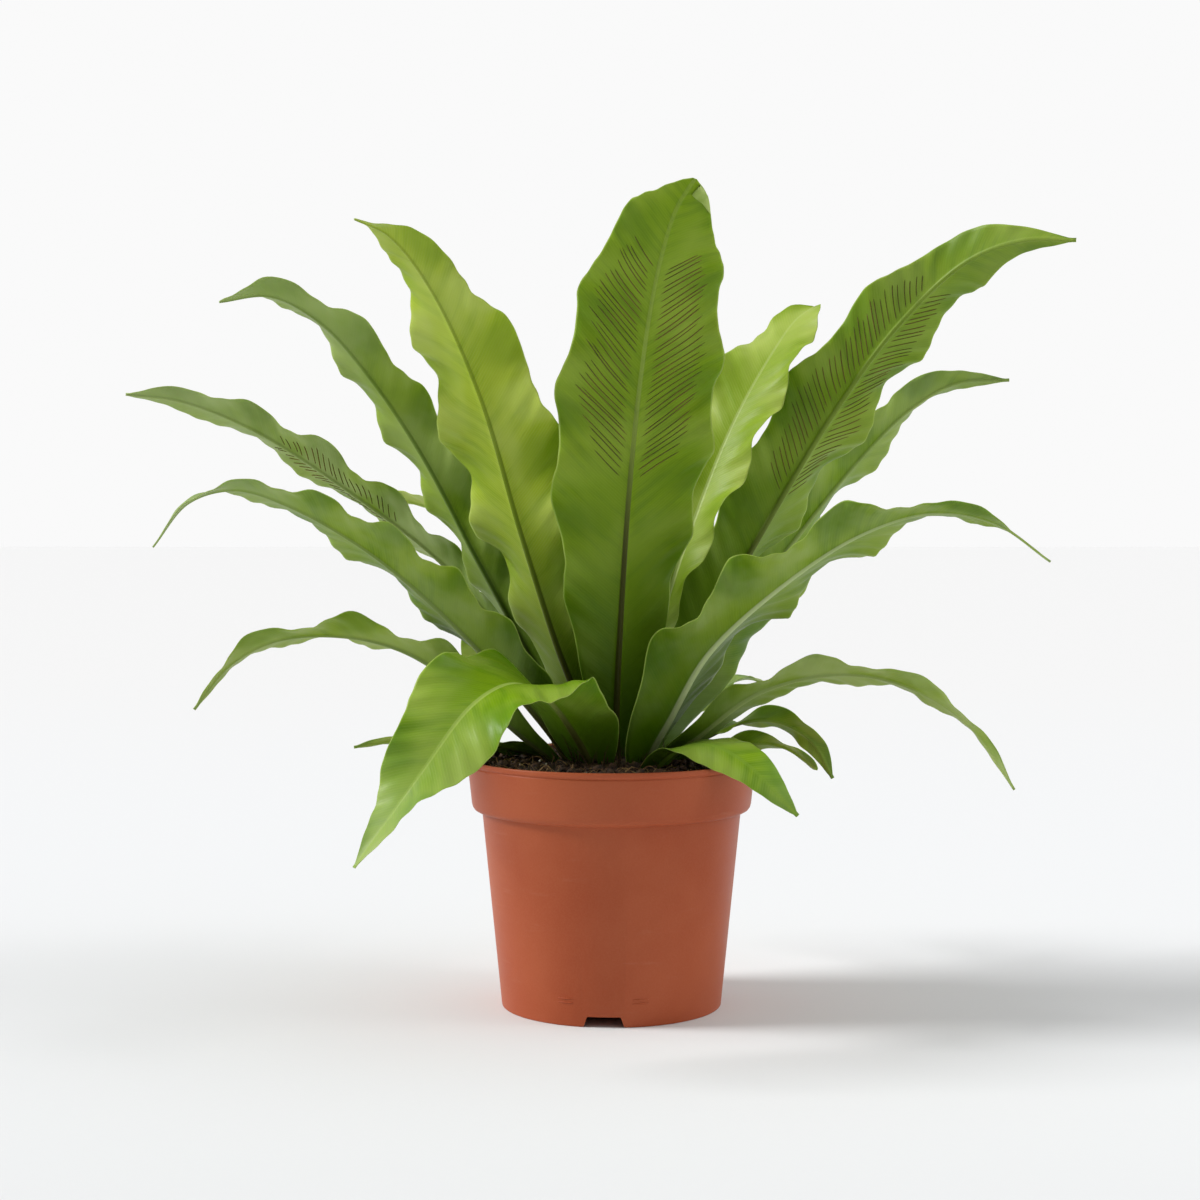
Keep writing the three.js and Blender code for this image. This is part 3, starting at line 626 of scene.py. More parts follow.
class Graph:
    """A new material's node tree, with a short way to add each kind of node."""

    def __init__(self, name):
        self.material = bpy.data.materials.new(name)
        self.material.use_nodes = True
        self.tree = self.material.node_tree
        self.shader = self.tree.nodes["Principled BSDF"]

    def put(self, value, socket):
        if isinstance(value, bpy.types.NodeSocket):
            self.tree.links.new(value, socket)
        else:
            socket.default_value = value

    def shade(self, **values):
        """Sets the shader's sockets, named with _ for each space."""
        for name, value in values.items():
            self.put(value, self.shader.inputs[name.replace("_", " ")])

    def attribute(self, name):
        """The three numbers of a stored vector."""
        node = self.tree.nodes.new("ShaderNodeAttribute")
        node.attribute_name = name
        return self.split(node.outputs["Vector"])

    def split(self, vector):
        node = self.tree.nodes.new("ShaderNodeSeparateXYZ")
        self.put(vector, node.inputs[0])
        return node.outputs[:]

    def join(self, x, y, z):
        node = self.tree.nodes.new("ShaderNodeCombineXYZ")
        for value, socket in zip((x, y, z), node.inputs):
            self.put(value, socket)
        return node.outputs[0]

    def place(self):
        """The point in the part's own frame, in metres."""
        return self.tree.nodes.new("ShaderNodeTexCoord").outputs["Object"]

    def math(self, operation, *values):
        node = self.tree.nodes.new("ShaderNodeMath")
        node.operation = operation
        for value, socket in zip(values, node.inputs):
            self.put(value, socket)
        return node.outputs[0]

    def times(self, a, b):
        return self.math("MULTIPLY", a, b)

    def plus(self, a, b):
        return self.math("ADD", a, b)

    def band(self, value, low, high, start=0.0, end=1.0):
        """value eased from start at low to end at high."""
        node = self.tree.nodes.new("ShaderNodeMapRange")
        node.interpolation_type = "SMOOTHSTEP"
        for number, socket in zip((value, low, high, start, end), node.inputs):
            self.put(number, socket)
        return node.outputs[0]

    def noise(self, vector, scale, detail=3.0, roughness=0.55):
        node = self.tree.nodes.new("ShaderNodeTexNoise")
        self.put(vector, node.inputs["Vector"])
        node.inputs["Scale"].default_value = scale
        node.inputs["Detail"].default_value = detail
        node.inputs["Roughness"].default_value = roughness
        return node.outputs["Fac"]

    def cells(self, vector, scale):
        node = self.tree.nodes.new("ShaderNodeTexVoronoi")
        self.put(vector, node.inputs["Vector"])
        node.inputs["Scale"].default_value = scale
        return node.outputs["Distance"]

    def mix(self, share, a, b):
        """Colour a, or b where share is 1."""
        node = self.tree.nodes.new("ShaderNodeMix")
        node.data_type = "RGBA"
        self.put(share, node.inputs[0])
        self.put(a, node.inputs[6])
        self.put(b, node.inputs[7])
        return node.outputs[2]

    def layers(self, body, rows):
        """A colour with more laid over it in turn, each with its share and its code."""
        for share, code in rows:
            body = self.mix(share, body, colour(code))
        return body

    def bump(self, height, depth, strength):
        """Bends the shading by a height from 0 to 1 that stands for depth in metres."""
        node = self.tree.nodes.new("ShaderNodeBump")
        node.inputs["Strength"].default_value = strength
        node.inputs["Distance"].default_value = depth
        self.put(height, node.inputs["Height"])
        self.put(node.outputs[0], self.shader.inputs["Normal"])


# Colours of each kind of frond: upper side, underside, their dark streaks and paler patches.
# The streak and pale tones are also used as painted shade and painted sheen on the edge waves.
LEAF_TONES = {
    "leaf_green": {"upper": "70930e", "under": "74930a", "streak": "4c7200", "pale": "98ae42"},
    # leaf_pale is partly the fronds' own paler colour and partly painted light: its yellower tones stand for
    # light shining through these fronds from behind.
    "leaf_pale": {"upper": "94ac34", "under": "a6ba32", "streak": "84a01a", "pale": "c0ce6c"},
    "leaf_bright": {"upper": "84a814", "under": "74920f", "streak": "588600", "pale": "acc058"},
}
RIB_BROWN = "33290f"
STALK_GREEN = "345400"

# How each frond differs from the plain look. painted sheen: share of a dull grey-green that stands for the
# whitish gloss of a leaf seen at a slant, and tip: more of it towards the tip. shade, pale: shares of dark
# green and of its kind's pale tone, partly the frond's own tone and partly painted shade and painted light.
# rib: colour of the midrib's far part. brown: how far its brown lower part reaches.
PLAIN_LOOK = {"painted_sheen": 0.1, "tip": 0.1, "shade": 0.0, "pale": 0.0, "rib": "7d943c", "brown": 0.55}
FROND_LOOKS = {
    "frond_01": {"painted_sheen": 0.0, "tip": 0.0, "pale": 0.15, "rib": "93a850", "brown": 0.66},
    "frond_02": {"painted_sheen": 0.0, "rib": "5f7410", "brown": 0.45},
    "frond_03": {"painted_sheen": 0.5, "tip": 0.45, "pale": 0.35, "rib": "55701e", "brown": 0.4},
    "frond_04": {"painted_sheen": 0.85, "tip": 0.6, "pale": 0.3, "rib": "8ea05c", "brown": 0.3},
    "frond_05": {"painted_sheen": 0.3, "tip": 0.7, "rib": "7f9350", "brown": 0.4},
    "frond_06": {"painted_sheen": 0.5, "tip": 0.3, "pale": 0.35, "rib": "7f9350", "brown": 0.35},
    "frond_07": {"painted_sheen": 0.05, "tip": 0.35, "shade": 0.2, "rib": "a8c060", "brown": 0.45},
    "frond_09": {"painted_sheen": 0.0, "tip": 0.0, "shade": 0.15, "rib": "b8c87c", "brown": 0.12},
    "frond_10": {"pale": 0.15, "rib": "7b8e3c", "brown": 0.5},
    "frond_11": {"painted_sheen": 0.3, "tip": 0.2, "rib": "8ea05c", "brown": 0.3},
    # frond_12's whitish midrib colour is partly its own pale midrib and partly painted highlight, the bright
    # line along its fold.
    "frond_12": {"painted_sheen": 0.3, "tip": 0.2, "rib": "bccb94", "brown": 0.25},
    "frond_13": {"painted_sheen": 0.9, "tip": 0.3, "pale": 0.4, "rib": "8ea05c", "brown": 0.25},
    "frond_16": {"painted_sheen": 0.15, "tip": 0.2, "rib": "86a83a", "brown": 0.2},
}
# Painted sheen: the dull grey-green that stands for the whitish gloss of a leaf seen at a slant.
PAINTED_SHEEN_GREEN = "a4b47a"
SHADE_GREEN = "3f6600"
EDGE_GREEN = "a8bc60"


def blade_material(frond):
    tones = LEAF_TONES[frond["slot"]]
    look = {**PLAIN_LOOK, **FROND_LOOKS.get(frond["name"], {})}
    g = Graph(frond["name"] + "_blade")
    across, along, wave = g.attribute("blade_size")
    t, q, under = g.attribute("blade_spot")
    number = int(frond["name"][-2:])
    distance = g.math("ABSOLUTE", across)

    # Veins run out from the midrib at one slope, and streaks of darker green follow them.
    wander = g.noise(g.join(g.times(across, 0.03), g.times(along, 0.05), number * 3.7), 1.0, 2.0)
    out = g.math("SUBTRACT", along, g.times(distance, VEIN_SLOPE))
    out = g.plus(out, g.times(wander, 3.0))
    saw = g.math("FRACT", g.times(out, 1 / VEIN_SPACING))
    ridge = g.math("ABSOLUTE", g.math("SUBTRACT", saw, 0.5))
    vein = g.band(ridge, 0.25, 0.5)
    streaks = g.noise(g.join(g.times(across, 0.05), g.times(out, 0.22), number * 5.1), 1.0, 2.0)
    broad = g.noise(g.join(g.times(across, 0.04), g.times(along, 0.022), number * 1.9), 1.0, 2.0)
    patches = g.noise(g.join(g.times(across, 0.05), g.times(along, 0.035), number * 7.3), 1.0, 3.0)
    fine = g.noise(g.place(), 900.0, 2.0)

    face = g.mix(under, colour(tones["upper"]), colour(tones["under"]))
    foot = g.band(g.plus(t, g.times(g.math("SUBTRACT", streaks, 0.5), 0.12)), 0.02, 0.56, 0.9, 0.0)
    body = g.layers(face, [
        (g.band(streaks, 0.42, 0.7, 0.0, 0.6), tones["streak"]),
        (g.band(broad, 0.45, 0.7, 0.0, 0.5), tones["pale"]),
        (g.times(vein, 0.2), tones["pale"]),
        # Painted shade and painted sheen: where an edge wave turns the blade one way it is darkened with the
        # streak green, and where it turns the other way it is lightened with the pale tone.
        (g.band(wave, 0.0, 0.25, 0.0, 0.6), tones["streak"]),
        (g.band(wave, -0.25, 0.0, 0.45, 0.0), tones["pale"]),
        # Painted sheen: patches of the dull grey-green, as much as the frond's sheen share.
        (g.band(patches, 0.35, 0.65, 0.0, look["painted_sheen"]), PAINTED_SHEEN_GREEN),
        (look["shade"], SHADE_GREEN),
        (look["pale"], tones["pale"]),
        (foot, STALK_GREEN),
        # More of the painted-sheen grey-green towards the tip.
        (g.band(t, 0.6, 1.0, 0.0, look["tip"]), PAINTED_SHEEN_GREEN),
        (g.band(q, 0.97, 0.995, 0.0, 0.6), EDGE_GREEN),
    ])

    # The midrib is pale above and turns from dark brown to green along the underside.
    rib_reach = g.band(t, 0.0, 1.0, RIB_HALF_WIDTH, 0.5 * RIB_HALF_WIDTH)
    on_rib = g.band(g.math("DIVIDE", distance, rib_reach), 0.75, 1.15, 1.0, 0.0)
    brown = g.band(t, look["brown"] - 0.3, look["brown"] + 0.05, 0.95, 0.0)
    brown = g.times(brown, g.band(under, 0.4, 0.6, 0.3, 1.0))
    rib = g.mix(brown, colour(look["rib"]), colour(RIB_BROWN))
    body = g.mix(g.times(on_rib, g.band(t, 0.35, 0.95, 0.9, 0.3)), body, rib)

    shine = g.band(under, 0.0, 1.0, 0.38, 0.44)
    roughness = g.plus(shine, g.times(g.math("SUBTRACT", fine, 0.5), 0.12))
    roughness = g.plus(roughness, g.times(g.math("SUBTRACT", patches, 0.5), 0.4))
    g.shade(Base_Color=body, Roughness=roughness, Specular_IOR_Level=0.12)
    g.shade(Subsurface_Weight=0.1, Subsurface_Radius=(0.9, 1.4, 0.2), Subsurface_Scale=0.001)
    relief = g.plus(g.times(vein, 0.05), g.times(streaks, 1.0))
    relief = g.plus(relief, g.times(broad, 3.0))
    g.bump(g.times(relief, g.band(t, 0.72, 0.95, 1.0, 0.1)), 0.0004, 0.7)
    return g.material


def sorus_material():
    g = Graph("sori")
    grain = g.noise(g.place(), 1800.0, 3.0)
    tone = g.noise(g.place(), 60.0, 2.0)
    body = g.mix(g.band(grain, 0.35, 0.7), colour("46480f"), colour("6c641c"))
    body = g.mix(g.band(tone, 0.4, 0.65, 0.0, 0.7), body, colour("7d5f2c"))
    g.shade(Base_Color=body, Roughness=g.band(grain, 0.2, 0.8, 0.7, 0.9))
    g.bump(grain, 0.0002, 0.8)
    return g.material


def pot_material():
    g = Graph("terracotta_plastic")
    place = g.place()
    x, y, z = g.split(place)
    broad = g.noise(place, 22.0, 3.0)
    fine = g.noise(place, 1400.0, 3.0)
    scuff = g.noise(g.join(g.times(x, 40.0), g.times(y, 40.0), g.times(z, 260.0)), 1.0, 4.0)
    body = g.mix(g.band(broad, 0.3, 0.7), colour("a84e2c"), colour("b05836"))
    body = g.layers(body, [
        (g.band(fine, 0.3, 0.75, 0.0, 0.12), "c07450"),
        (g.band(scuff, 0.62, 0.8, 0.0, 0.18), "c0846a"),
    ])
    roughness = g.plus(g.band(broad, 0.2, 0.8, 0.36, 0.46), g.times(scuff, 0.08))
    g.shade(Base_Color=body, Roughness=roughness, Specular_IOR_Level=0.2)
    g.bump(g.plus(fine, g.times(broad, 2.0)), 0.00006, 0.5)
    return g.material


def soil_material():
    g = Graph("potting_mix")
    place = g.place()
    broad = g.noise(place, 90.0, 4.0)
    grit = g.noise(place, 900.0, 5.0, 0.7)
    crumb = g.cells(place, 420.0)
    body = g.mix(g.band(broad, 0.35, 0.68), colour("2b1b10"), colour("4a3220"))
    body = g.layers(body, [
        (g.band(grit, 0.5, 0.72), "6a4a2e"),
        (g.band(crumb, 0.0, 0.25, 0.5, 0.0), "1c110a"),
    ])
    g.shade(Base_Color=body, Roughness=g.band(grit, 0.3, 0.7, 0.85, 0.97))
    g.bump(g.plus(grit, crumb), 0.0012, 0.9)
    return g.material


def plain_natural(name, dark, light, scale, depth):
    """A matt natural surface between two colours, for fibres, grit and scales."""
    g = Graph(name)
    place = g.place()
    spots = g.noise(place, scale, 4.0)
    grain = g.noise(place, scale * 5, 2.0)
    body = g.mix(g.band(spots, 0.35, 0.65), colour(dark), colour(light))
    g.shade(Base_Color=body, Roughness=g.band(grain, 0.3, 0.7, 0.65, 0.9))
    g.bump(g.plus(spots, grain), depth, 0.7)
    return g.material


# Pot

def filleted(corners, steps=5):
    """A profile whose corners, [radius, height, fillet], are rounded with arcs."""
    made = []
    count = len(corners)
    for k, (x, z, fillet) in enumerate(corners):
        here = np.array([x, z], float)
        if fillet == 0:
            made.append(here)
            continue
        before = np.array(corners[k - 1][:2], float) - here
        after = np.array(corners[(k + 1) % count][:2], float) - here
        start = here + before / np.linalg.norm(before) * fillet
        end = here + after / np.linalg.norm(after) * fillet
        for share in np.linspace(0, 1, steps):
            made.append((1 - share) ** 2 * start + 2 * share * (1 - share) * here + share ** 2 * end)
    return made


def turned(name, profile, facets, material):
    """A closed body of revolution from a profile that starts and ends on the axis."""
    inner = profile[1:-1]
    angles = np.arange(facets) * 2 * math.pi / facets
    points = [(r * math.cos(a), r * math.sin(a), z) for r, z in inner for a in angles]
    foot = len(points)
    points += [(0, 0, profile[0][1]), (0, 0, profile[-1][1])]
    faces = ring_quads(len(inner), facets)
    last = (len(inner) - 1) * facets
    for k in range(facets):
        after = (k + 1) % facets
        faces.append((foot, after, k))
        faces.append((foot + 1, last + k, last + after))
    return mesh_object(name, points, faces, material)


def pot_profile():
    rim = RIM_DIAMETER / 2
    band_top = rim - LIP_BEAD / 2
    band_foot = BAND_FOOT_DIAMETER / 2
    body_top = BODY_TOP_DIAMETER / 2
    foot = FOOT_DIAMETER / 2
    pad = PAD_DIAMETER / 2
    ledge = POT_HEIGHT - BAND_HEIGHT
    floor = BASE_LIFT + POT_WALL
    corners = [
        (0, 0, 0),
        (pad, 0, 0.8),
        (pad + BASE_LIFT / 2, BASE_LIFT, 0.8),
        (foot - POT_WALL, BASE_LIFT, 0.4),
        (foot - POT_WALL, 0, 0.3),
        (foot, 0, 0.5),
        (body_top, ledge, 0.35),
        (band_foot, ledge, BAND_ROUNDING),
        (band_top, POT_HEIGHT - 2.6 * LIP_BEAD, 0.3),
        (band_top - LIP_GROOVE, POT_HEIGHT - 2.2 * LIP_BEAD, 0.3),
        (rim, POT_HEIGHT - 1.6 * LIP_BEAD, 0.3),
        (rim, POT_HEIGHT - LIP_BEAD / 4, 0.5),
        (rim - LIP_BEAD / 2, POT_HEIGHT, 0.25),
        (band_top - POT_WALL, POT_HEIGHT - LIP_BEAD / 2, 0.4),
        (band_foot - POT_WALL, ledge + 2 * POT_WALL, 0.8),
        (body_top - POT_WALL, ledge + POT_WALL, 0.8),
        (foot - POT_WALL + 1, floor, 0.8),
        (pad + BASE_LIFT / 2 - POT_WALL, floor, 0.6),
        (pad - POT_WALL, POT_WALL, 0.6),
        (0, POT_WALL, 0),
    ]
    return filleted(corners)


def notch_cutter(direction):
    """The wedge that cuts one notch in the pot's foot."""
    top = BASE_LIFT - 0.2
    foot = NOTCH_WIDTH_FOOT / 2
    half = [(foot + NOTCH_FLARE, -1), (foot + NOTCH_FLARE, 0)]
    for turn in np.radians((30, 60, 90)):
        across = foot + NOTCH_FLARE * (1 - math.sin(turn))
        half.append((across, NOTCH_FLARE * (1 - math.cos(turn))))
    half += [(NOTCH_WIDTH_TOP / 2 + 0.1, top - 0.4), (NOTCH_WIDTH_TOP / 2 - 0.3, top)]
    outline = half + [(-x, z) for x, z in reversed(half)]
    near = -FOOT_DIAMETER / 2 - POT_WALL
    far = near + 4 * POT_WALL
    points = [(x, near, z) for x, z in outline] + [(x, far, z) for x, z in outline]
    count = len(outline)
    faces = [tuple(range(count)), tuple(range(count, 2 * count))[::-1]]
    faces += [(k, k + count, (k + 1) % count + count, (k + 1) % count) for k in range(count)]
    turn = Matrix.Rotation(math.radians(direction + 90), 3, "Z")
    return [tuple(turn @ Vector(p)) for p in points], faces


def drain_cutter(number):
    """A drain hole's cutter, through the raised floor."""
    angle = (number + 0.5) * 2 * math.pi / DRAIN_COUNT
    middle = DRAIN_CIRCLE_DIAMETER / 2
    sides = 32
    low, high = BASE_LIFT - POT_WALL, BASE_LIFT + 2 * POT_WALL
    ring = []
    for k in range(sides):
        turn = 2 * math.pi * k / sides
        ring.append((math.cos(turn) * DRAIN_DIAMETER / 2, math.sin(turn) * DRAIN_DIAMETER / 2))
    x, y = middle * math.cos(angle), middle * math.sin(angle)
    points = [(x + a, y + b, low) for a, b in ring] + [(x + a, y + b, high) for a, b in ring]
    faces = [tuple(range(sides))[::-1], tuple(range(sides, 2 * sides))]
    faces += [(k, (k + 1) % sides, (k + 1) % sides + sides, k + sides) for k in range(sides)]
    return points, faces


def build_pot(material):
    pot = turned("nursery_pot", pot_profile(), POT_FACETS, material)
    cutters = [notch_cutter(direction) for direction in NOTCH_DIRECTIONS]
    cutters += [drain_cutter(number) for number in range(DRAIN_COUNT)]
    cutter = joined("cutter", cutters, material, smooth=False)
    cut = pot.modifiers.new("cut", "BOOLEAN")
    cut.operation = "DIFFERENCE"
    cut.object = cutter
    cut.solver = "EXACT"
    keep_modified(pot)
    bpy.data.objects.remove(cutter)
    sharpen(pot, 40)
    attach(pot, "root")
    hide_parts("pot")


def build_foot_marks(material):
    """Two pairs of short raised lines above the foot, one pair on each side of the front notch."""
    slope = (BODY_TOP_DIAMETER - FOOT_DIAMETER) / 2 / (POT_HEIGHT - BAND_HEIGHT)
    radii = FOOT_MARK_RADIUS * np.sin(np.linspace(0.4, math.pi - 0.4, 13))
    shapes = []
    for middle in FOOT_MARK_DIRECTIONS:
        for height in FOOT_MARK_HEIGHTS:
            radius = FOOT_DIAMETER / 2 + slope * height
            path = []
            for turn in np.radians(middle + np.linspace(-FOOT_MARK_HALF_ANGLE, FOOT_MARK_HALF_ANGLE, 13)):
                path.append((radius * math.cos(turn), radius * math.sin(turn), height))
            shapes.append(tube(path, radii, 8))
    made = joined("foot_marks", shapes, material)
    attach(made, "root")


def keep_modified(piece):
    """Applies a piece's modifiers to its mesh."""
    shown = piece.evaluated_get(bpy.context.evaluated_depsgraph_get())
    mesh = bpy.data.meshes.new_from_object(shown)
    piece.modifiers.clear()
    piece.data = mesh


def sharpen(piece, degrees):
    """Smooth shading that breaks at edges sharper than an angle."""
    made = bmesh.new()
    made.from_mesh(piece.data)
    for face in made.faces:
        face.smooth = True
    for edge in made.edges:
        if len(edge.link_faces) == 2:
            edge.smooth = edge.calc_face_angle(0) < math.radians(degrees)
    made.to_mesh(piece.data)
    made.free()


# Soil and crown

def lump(x, y):
    return np.sin(0.37 * x + 1.1) * np.cos(0.43 * y) + 0.5 * np.sin(0.91 * x - 0.67 * y)


def soil_height(x, y):
    """Height of the potting mix, which lies higher towards the left and the back of the pot."""
    heap = SOIL_HEAP * (0.75 + 0.25 * np.sin(0.05 * y - 0.045 * x + 0.6))
    rough = 0.5 * lump(x, y) + 0.35 * lump(2.3 * y, 2.1 * x) + 0.2 * lump(5.1 * x + 2, 4.7 * y)
    return SOIL_LEVEL + heap + rough


def soil_radius(z):
    """Inside radius of the pot's band at a height, less the clearance."""
    ledge = POT_HEIGHT - BAND_HEIGHT
    return BAND_FOOT_DIAMETER / 2 - POT_WALL - CLEARANCE + (z - ledge) / BAND_HEIGHT * 2.0


def build_soil(material):
    ledge = POT_HEIGHT - BAND_HEIGHT
    wall_foot = FOOT_DIAMETER / 2 - POT_WALL + 1 - CLEARANCE
    floor = BASE_LIFT + POT_WALL + CLEARANCE
    pad = PAD_DIAMETER / 2 - POT_WALL - CLEARANCE
    profile = [
        (0, POT_WALL + CLEARANCE),
        (pad, POT_WALL + CLEARANCE),
        (pad + BASE_LIFT / 2, floor),
        (wall_foot, floor),
        (BODY_TOP_DIAMETER / 2 - POT_WALL - CLEARANCE, ledge + POT_WALL + CLEARANCE),
        (BAND_FOOT_DIAMETER / 2 - POT_WALL - CLEARANCE, ledge + 2 * POT_WALL + CLEARANCE),
        (soil_radius(SOIL_LEVEL), SOIL_LEVEL),
    ]
    sides = len(profile)
    top_radius = soil_radius(SOIL_LEVEL + SOIL_HEAP)
    rings = 60
    profile += [(top_radius * (1 - ring / rings), SOIL_LEVEL + SOIL_HEAP) for ring in range(rings + 1)]
    facets = 180
    soil = turned("potting_mix", profile, facets, material)
    points = read_points(soil)
    top = np.arange(len(points)) >= (sides - 1) * facets
    top[-2] = False
    points[top, 2] = soil_height(points[top, 0], points[top, 1])
    move_points(soil, points)
    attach(soil, "root")
    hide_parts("soil")


def scatter_crumbs(name, places, material):
    """Many crumbs, joined in one piece. places gives (matrix, seed) pairs."""
    shapes = []
    for matrix, seed in places:
        points, faces = pebble(seed)
        shapes.append(([matrix @ Vector(point) for point in points], faces))
    made = joined(name, shapes, material)
    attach(made, "root")


def pebble(seed):
    """A lumpy crumb about 1 across, from a ball of 42 points."""
    ball = bmesh.new()
    bmesh.ops.create_icosphere(ball, subdivisions=2, radius=0.5)
    draw = random.Random(seed)
    turns = [draw.uniform(0, 6.3) for _ in range(6)]
    points = []
    for vertex in ball.verts:
        x, y, z = vertex.co
        swell = 1 + 0.28 * math.sin(5 * x + turns[0]) * math.cos(6 * y + turns[1])
        swell += 0.22 * math.sin(9 * z + turns[2]) + 0.12 * math.sin(14 * x + 11 * y + turns[3])
        points.append((x * swell, y * swell, z * swell))
    faces = [tuple(v.index for v in face.verts) for face in ball.faces]
    ball.free()
    return points, faces


def tube(path, radii, sides=5):
    """A closed tube through the points of a path, as points and faces."""
    path = np.asarray(path, float)
    along = unit(np.gradient(path, axis=0))
    across = unit(np.cross(along, np.where(np.abs(along[:, 2:]) > 0.9, [[1.0, 0, 0]], [[0, 0, 1.0]])))
    up = np.cross(along, across)
    points = []
    for k in range(sides):
        turn = 2 * math.pi * k / sides
        points.append(path + (across * math.cos(turn) + up * math.sin(turn)) * radii[:, None])
    points = np.stack(points, 1)
    faces = [(a, d, c, b) for a, b, c, d in ring_quads(len(path), sides)]
    last = (len(path) - 1) * sides
    faces.append(tuple(range(sides)))
    faces.append(tuple(last + k for k in range(sides))[::-1])
    return points.reshape(-1, 3), faces


def ground_spots(draw, count, inner):
    """Seeded places on the potting mix, at least inner from the pot's axis."""
    made = []
    for _ in range(count):
        distance = math.sqrt(draw.uniform(inner ** 2, LOOSE_REACH ** 2))
        turn = draw.uniform(0, 2 * math.pi)
        x, y = distance * math.cos(turn), distance * math.sin(turn)
        made.append((x, y, float(soil_height(x, y))))
    return made


def crumb_places(draw, count, smallest, largest, inner, sunk):
    """Seeded places, turns and sizes of crumbs that are sunk in the mix by a share of their size."""
    made = []
    for x, y, z in ground_spots(draw, count, inner):
        size = smallest + (largest - smallest) * draw.random() ** 2.5
        turn = Matrix.Rotation(draw.uniform(0, 6.3), 4, (draw.random(), draw.random(), draw.random() + 0.1))
        scale = Matrix.Diagonal((size, size * draw.uniform(0.6, 1), size * draw.uniform(0.5, 0.9), 1))
        place = Matrix.Translation((x, y, z + size * (0.5 - sunk)))
        made.append((place @ turn @ scale, draw.randrange(10 ** 6)))
    return made


def build_fibres(material):
    """Bits of root and bark fibre that lie on the mix and stick out of it."""
    draw = random.Random(FIBRE_SEED)
    furthest = LOOSE_REACH + 1
    shapes = []
    for x, y, _ in ground_spots(draw, FIBRE_COUNT, 8):
        length = draw.uniform(4, 13)
        heading = draw.uniform(0, 2 * math.pi)
        bend = draw.uniform(-1.6, 1.6)
        lift = draw.uniform(0.2, 2.2) + 3 * draw.random() ** 6
        path = []
        for step in range(9):
            share = step / 8
            way = heading + bend * share
            x += math.cos(way) * length / 9
            y += math.sin(way) * length / 9
            reach = math.hypot(x, y)
            if reach > furthest:
                x, y = x * furthest / reach, y * furthest / reach
            path.append((x, y, float(soil_height(x, y)) + lift * math.sin(math.pi * share) - 0.15))
        radii = draw.uniform(0.1, 0.28) * np.sqrt(np.linspace(1, 0.25, 9))
        shapes.append(tube(path, radii))
    made = joined("root_fibres", shapes, material)
    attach(made, "root")


def build_scales(material):
    """Narrow dark scales that stand up round the crown, among the stalks."""
    draw = random.Random(SCALE_SEED)
    shapes = []
    for _ in range(SCALE_COUNT):
        turn = draw.uniform(0, 2 * math.pi)
        reach = CROWN_DIAMETER / 2 * math.sqrt(draw.uniform(0.25, 0.95))
        length = 3 + 5 * draw.random() + 9 * draw.random() ** 5
        lean = draw.uniform(0.2, 0.9)
        bend = draw.uniform(-0.8, 0.8)
        foot = CROWN_TOP - 4.5
        path = []
        for share in np.linspace(0, 1, 6):
            out = reach + length * lean * share ** 1.4
            way = turn + bend * share * length / 40
            height = foot + length * share * (1.2 - 0.4 * lean)
            path.append((out * math.cos(way), out * math.sin(way), height))
        radii = draw.uniform(0.25, 0.5) * np.linspace(1, 0.1, 6)
        shapes.append(tube(path, radii))
    made = joined("crown_scales", shapes, material)
    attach(made, "root")


def build_crown(material):
    radius = CROWN_DIAMETER / 2
    waist = SOIL_LEVEL + 0.5
    top = CROWN_TOP
    corners = [
        (0, CROWN_FOOT, 0),
        (radius * 0.72, CROWN_FOOT, 1.5),
        (radius * 0.94, CROWN_FOOT + 6, 2),
        (radius, waist - 2, 1.5),
        (radius * 0.96, waist + 2, 1.2),
        (radius * 0.82, top - 3, 1.2),
        (radius * 0.5, top - 1, 1.5),
        (0, top, 0),
    ]
    crown = turned("crown_mound", filleted(corners, 6), 96, material)
    points = read_points(crown)
    high = points[:, 2] > waist
    points[high, 2] += 0.8 * lump(2 * points[high, 0], 2 * points[high, 1])
    move_points(crown, points)
    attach(crown, "root")
    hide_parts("crown")


# Camera, light and floor

def make_camera():
    data = bpy.data.cameras.new("camera")
    data.sensor_width = SENSOR
    data.lens = LENS
    data.clip_start = 0.01
    data.clip_end = 50
    camera = bpy.data.objects.new("camera", data)
    camera.location = CAMERA_PLACE
    camera.rotation_euler = (math.radians(90 - CAMERA_PITCH), 0, math.radians(CAMERA_TURN))
    bpy.context.scene.collection.objects.link(camera)
    bpy.context.scene.camera = camera


def add_sun(name, strength, softness, heading, height):
    data = bpy.data.lights.new(name, "SUN")
    data.energy = strength
    data.angle = math.radians(softness)
    light = bpy.data.objects.new(name, data)
    a, e = math.radians(heading), math.radians(height)
    toward = Vector((math.cos(a) * math.cos(e), math.sin(a) * math.cos(e), math.sin(e)))
    light.rotation_euler = toward.to_track_quat("Z", "Y").to_euler()
    bpy.context.scene.collection.objects.link(light)


class WorldGraph(Graph):
    """The world's node tree, with the same short ways."""

    def __init__(self, world):
        world.use_nodes = True
        self.tree = world.node_tree
        self.background = self.tree.nodes["Background"]


def make_world():
    """Light from all round, brighter from the right and above and dim from the front, before plain white."""
    world = bpy.data.worlds.new("studio")
    g = WorldGraph(world)
    x, y, z = g.split(g.tree.nodes.new("ShaderNodeTexCoord").outputs["Generated"])
    light = g.band(x, 0.1, 0.95, 0.46, 1.15)
    light = g.plus(light, g.band(z, 0.2, 0.9, 0.0, 0.1))
    light = g.plus(light, g.band(y, -0.85, -0.1, -0.32, 0.0))
    seen = g.tree.nodes.new("ShaderNodeLightPath").outputs["Is Camera Ray"]
    shown = g.tree.nodes.new("ShaderNodeMix")
    for value, socket in zip((seen, light, BACKGROUND), shown.inputs[:1] + shown.inputs[2:4]):
        g.put(value, socket)
    g.put(shown.outputs[0], g.background.inputs["Strength"])
    g.put((1, 1, 1, 1), g.background.inputs["Color"])
    bpy.context.scene.world = world


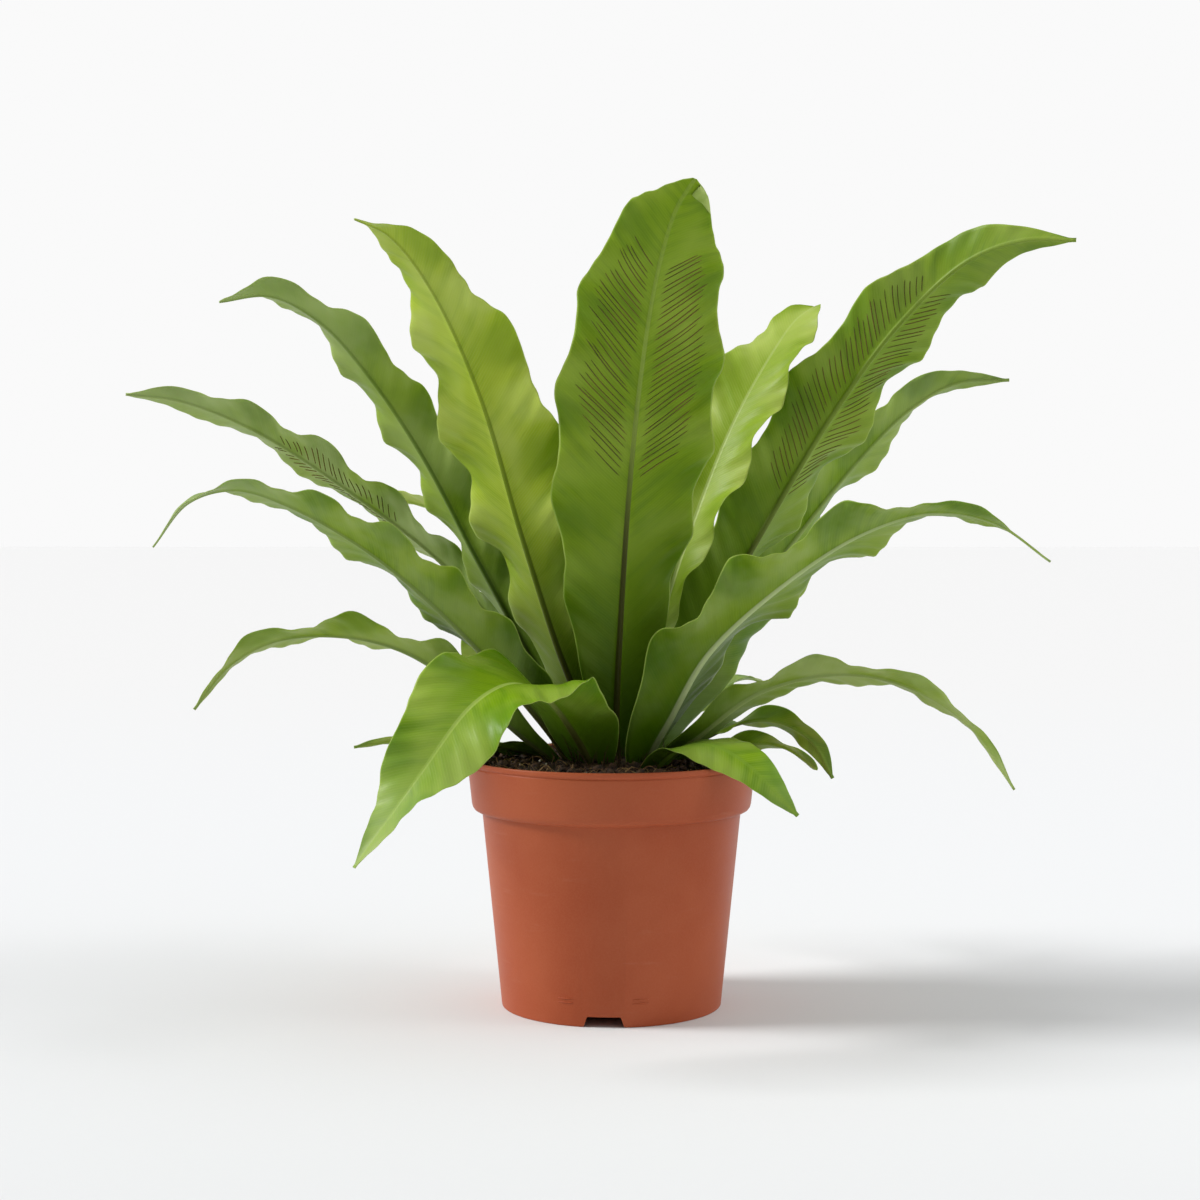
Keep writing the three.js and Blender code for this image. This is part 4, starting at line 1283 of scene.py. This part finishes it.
def make_studio():
    make_world()
    bpy.context.scene.view_settings.view_transform = "Standard"
    for name, values in SUNS.items():
        add_sun(name, *values)

    g = Graph("paper_floor")
    _, y, _ = g.split(g.place())
    # Painted shadow: the floor is darker towards the front, for the soft shadow of the leaves in front of
    # the pot.
    near = g.band(y, -0.5, -0.15, 1.0, 0.0)
    far = g.band(y, 0.1, 2.0)
    grain = g.noise(g.place(), 300.0, 3.0)
    paper = g.mix(grain, (0.79, 0.80, 0.81, 1), (0.80, 0.81, 0.82, 1))
    paper = g.mix(near, paper, (0.69, 0.70, 0.71, 1))
    g.shade(Base_Color=g.mix(far, paper, (0.80, 0.80, 0.80, 1)))
    g.shade(Roughness=0.9, Specular_IOR_Level=0.1)
    side = 20 / MM
    corners = [(-side, -side, 0), (side, -side, 0), (side, side, 0), (-side, side, 0)]
    floor = mesh_object("floor", corners, [(0, 1, 2, 3)], g.material)


# The scene

make_camera()
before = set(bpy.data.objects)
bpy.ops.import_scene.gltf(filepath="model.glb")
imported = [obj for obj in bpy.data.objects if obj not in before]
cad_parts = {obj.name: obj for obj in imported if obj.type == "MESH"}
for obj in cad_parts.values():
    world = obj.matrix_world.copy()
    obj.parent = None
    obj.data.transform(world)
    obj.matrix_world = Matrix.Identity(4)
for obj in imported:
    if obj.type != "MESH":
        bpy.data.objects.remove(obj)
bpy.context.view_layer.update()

make_studio()
plastic = pot_material()
build_pot(plastic)
build_foot_marks(plastic)
build_soil(soil_material())
bark = plain_natural("crown_bark", "2a1d10", "57401f", 300.0, 0.0008)
build_crown(bark)
build_scales(bark)
sorus_look = sorus_material()
for frond in FRONDS:
    blade = build_frond(frond, blade_material(frond))
    if frond["name"] in SORI:
        build_sori(blade, SORI[frond["name"]], sorus_look)
    if frond["name"] == "frond_01":
        build_tip_fold(blade, plain_natural("leaf_fold", "8ea844", "a6ba62", 150.0, 0.0001))

draw = random.Random(CRUMB_SEED)
crumb_look = plain_natural("crumbs", "2a1a0f", "5c3f27", 500.0, 0.0006)
grit_look = plain_natural("white_grit", "b8ab95", "e6dfd0", 600.0, 0.0003)
fibre_look = plain_natural("fibres", "6b4a2c", "a98758", 700.0, 0.0002)
scatter_crumbs("soil_crumbs", crumb_places(draw, CRUMB_COUNT, 0.9, 4.2, 10, 0.35), crumb_look)
scatter_crumbs("soil_grit", crumb_places(draw, GRIT_COUNT, 0.5, 1.5, 14, 0.2), grit_look)
build_fibres(fibre_look)
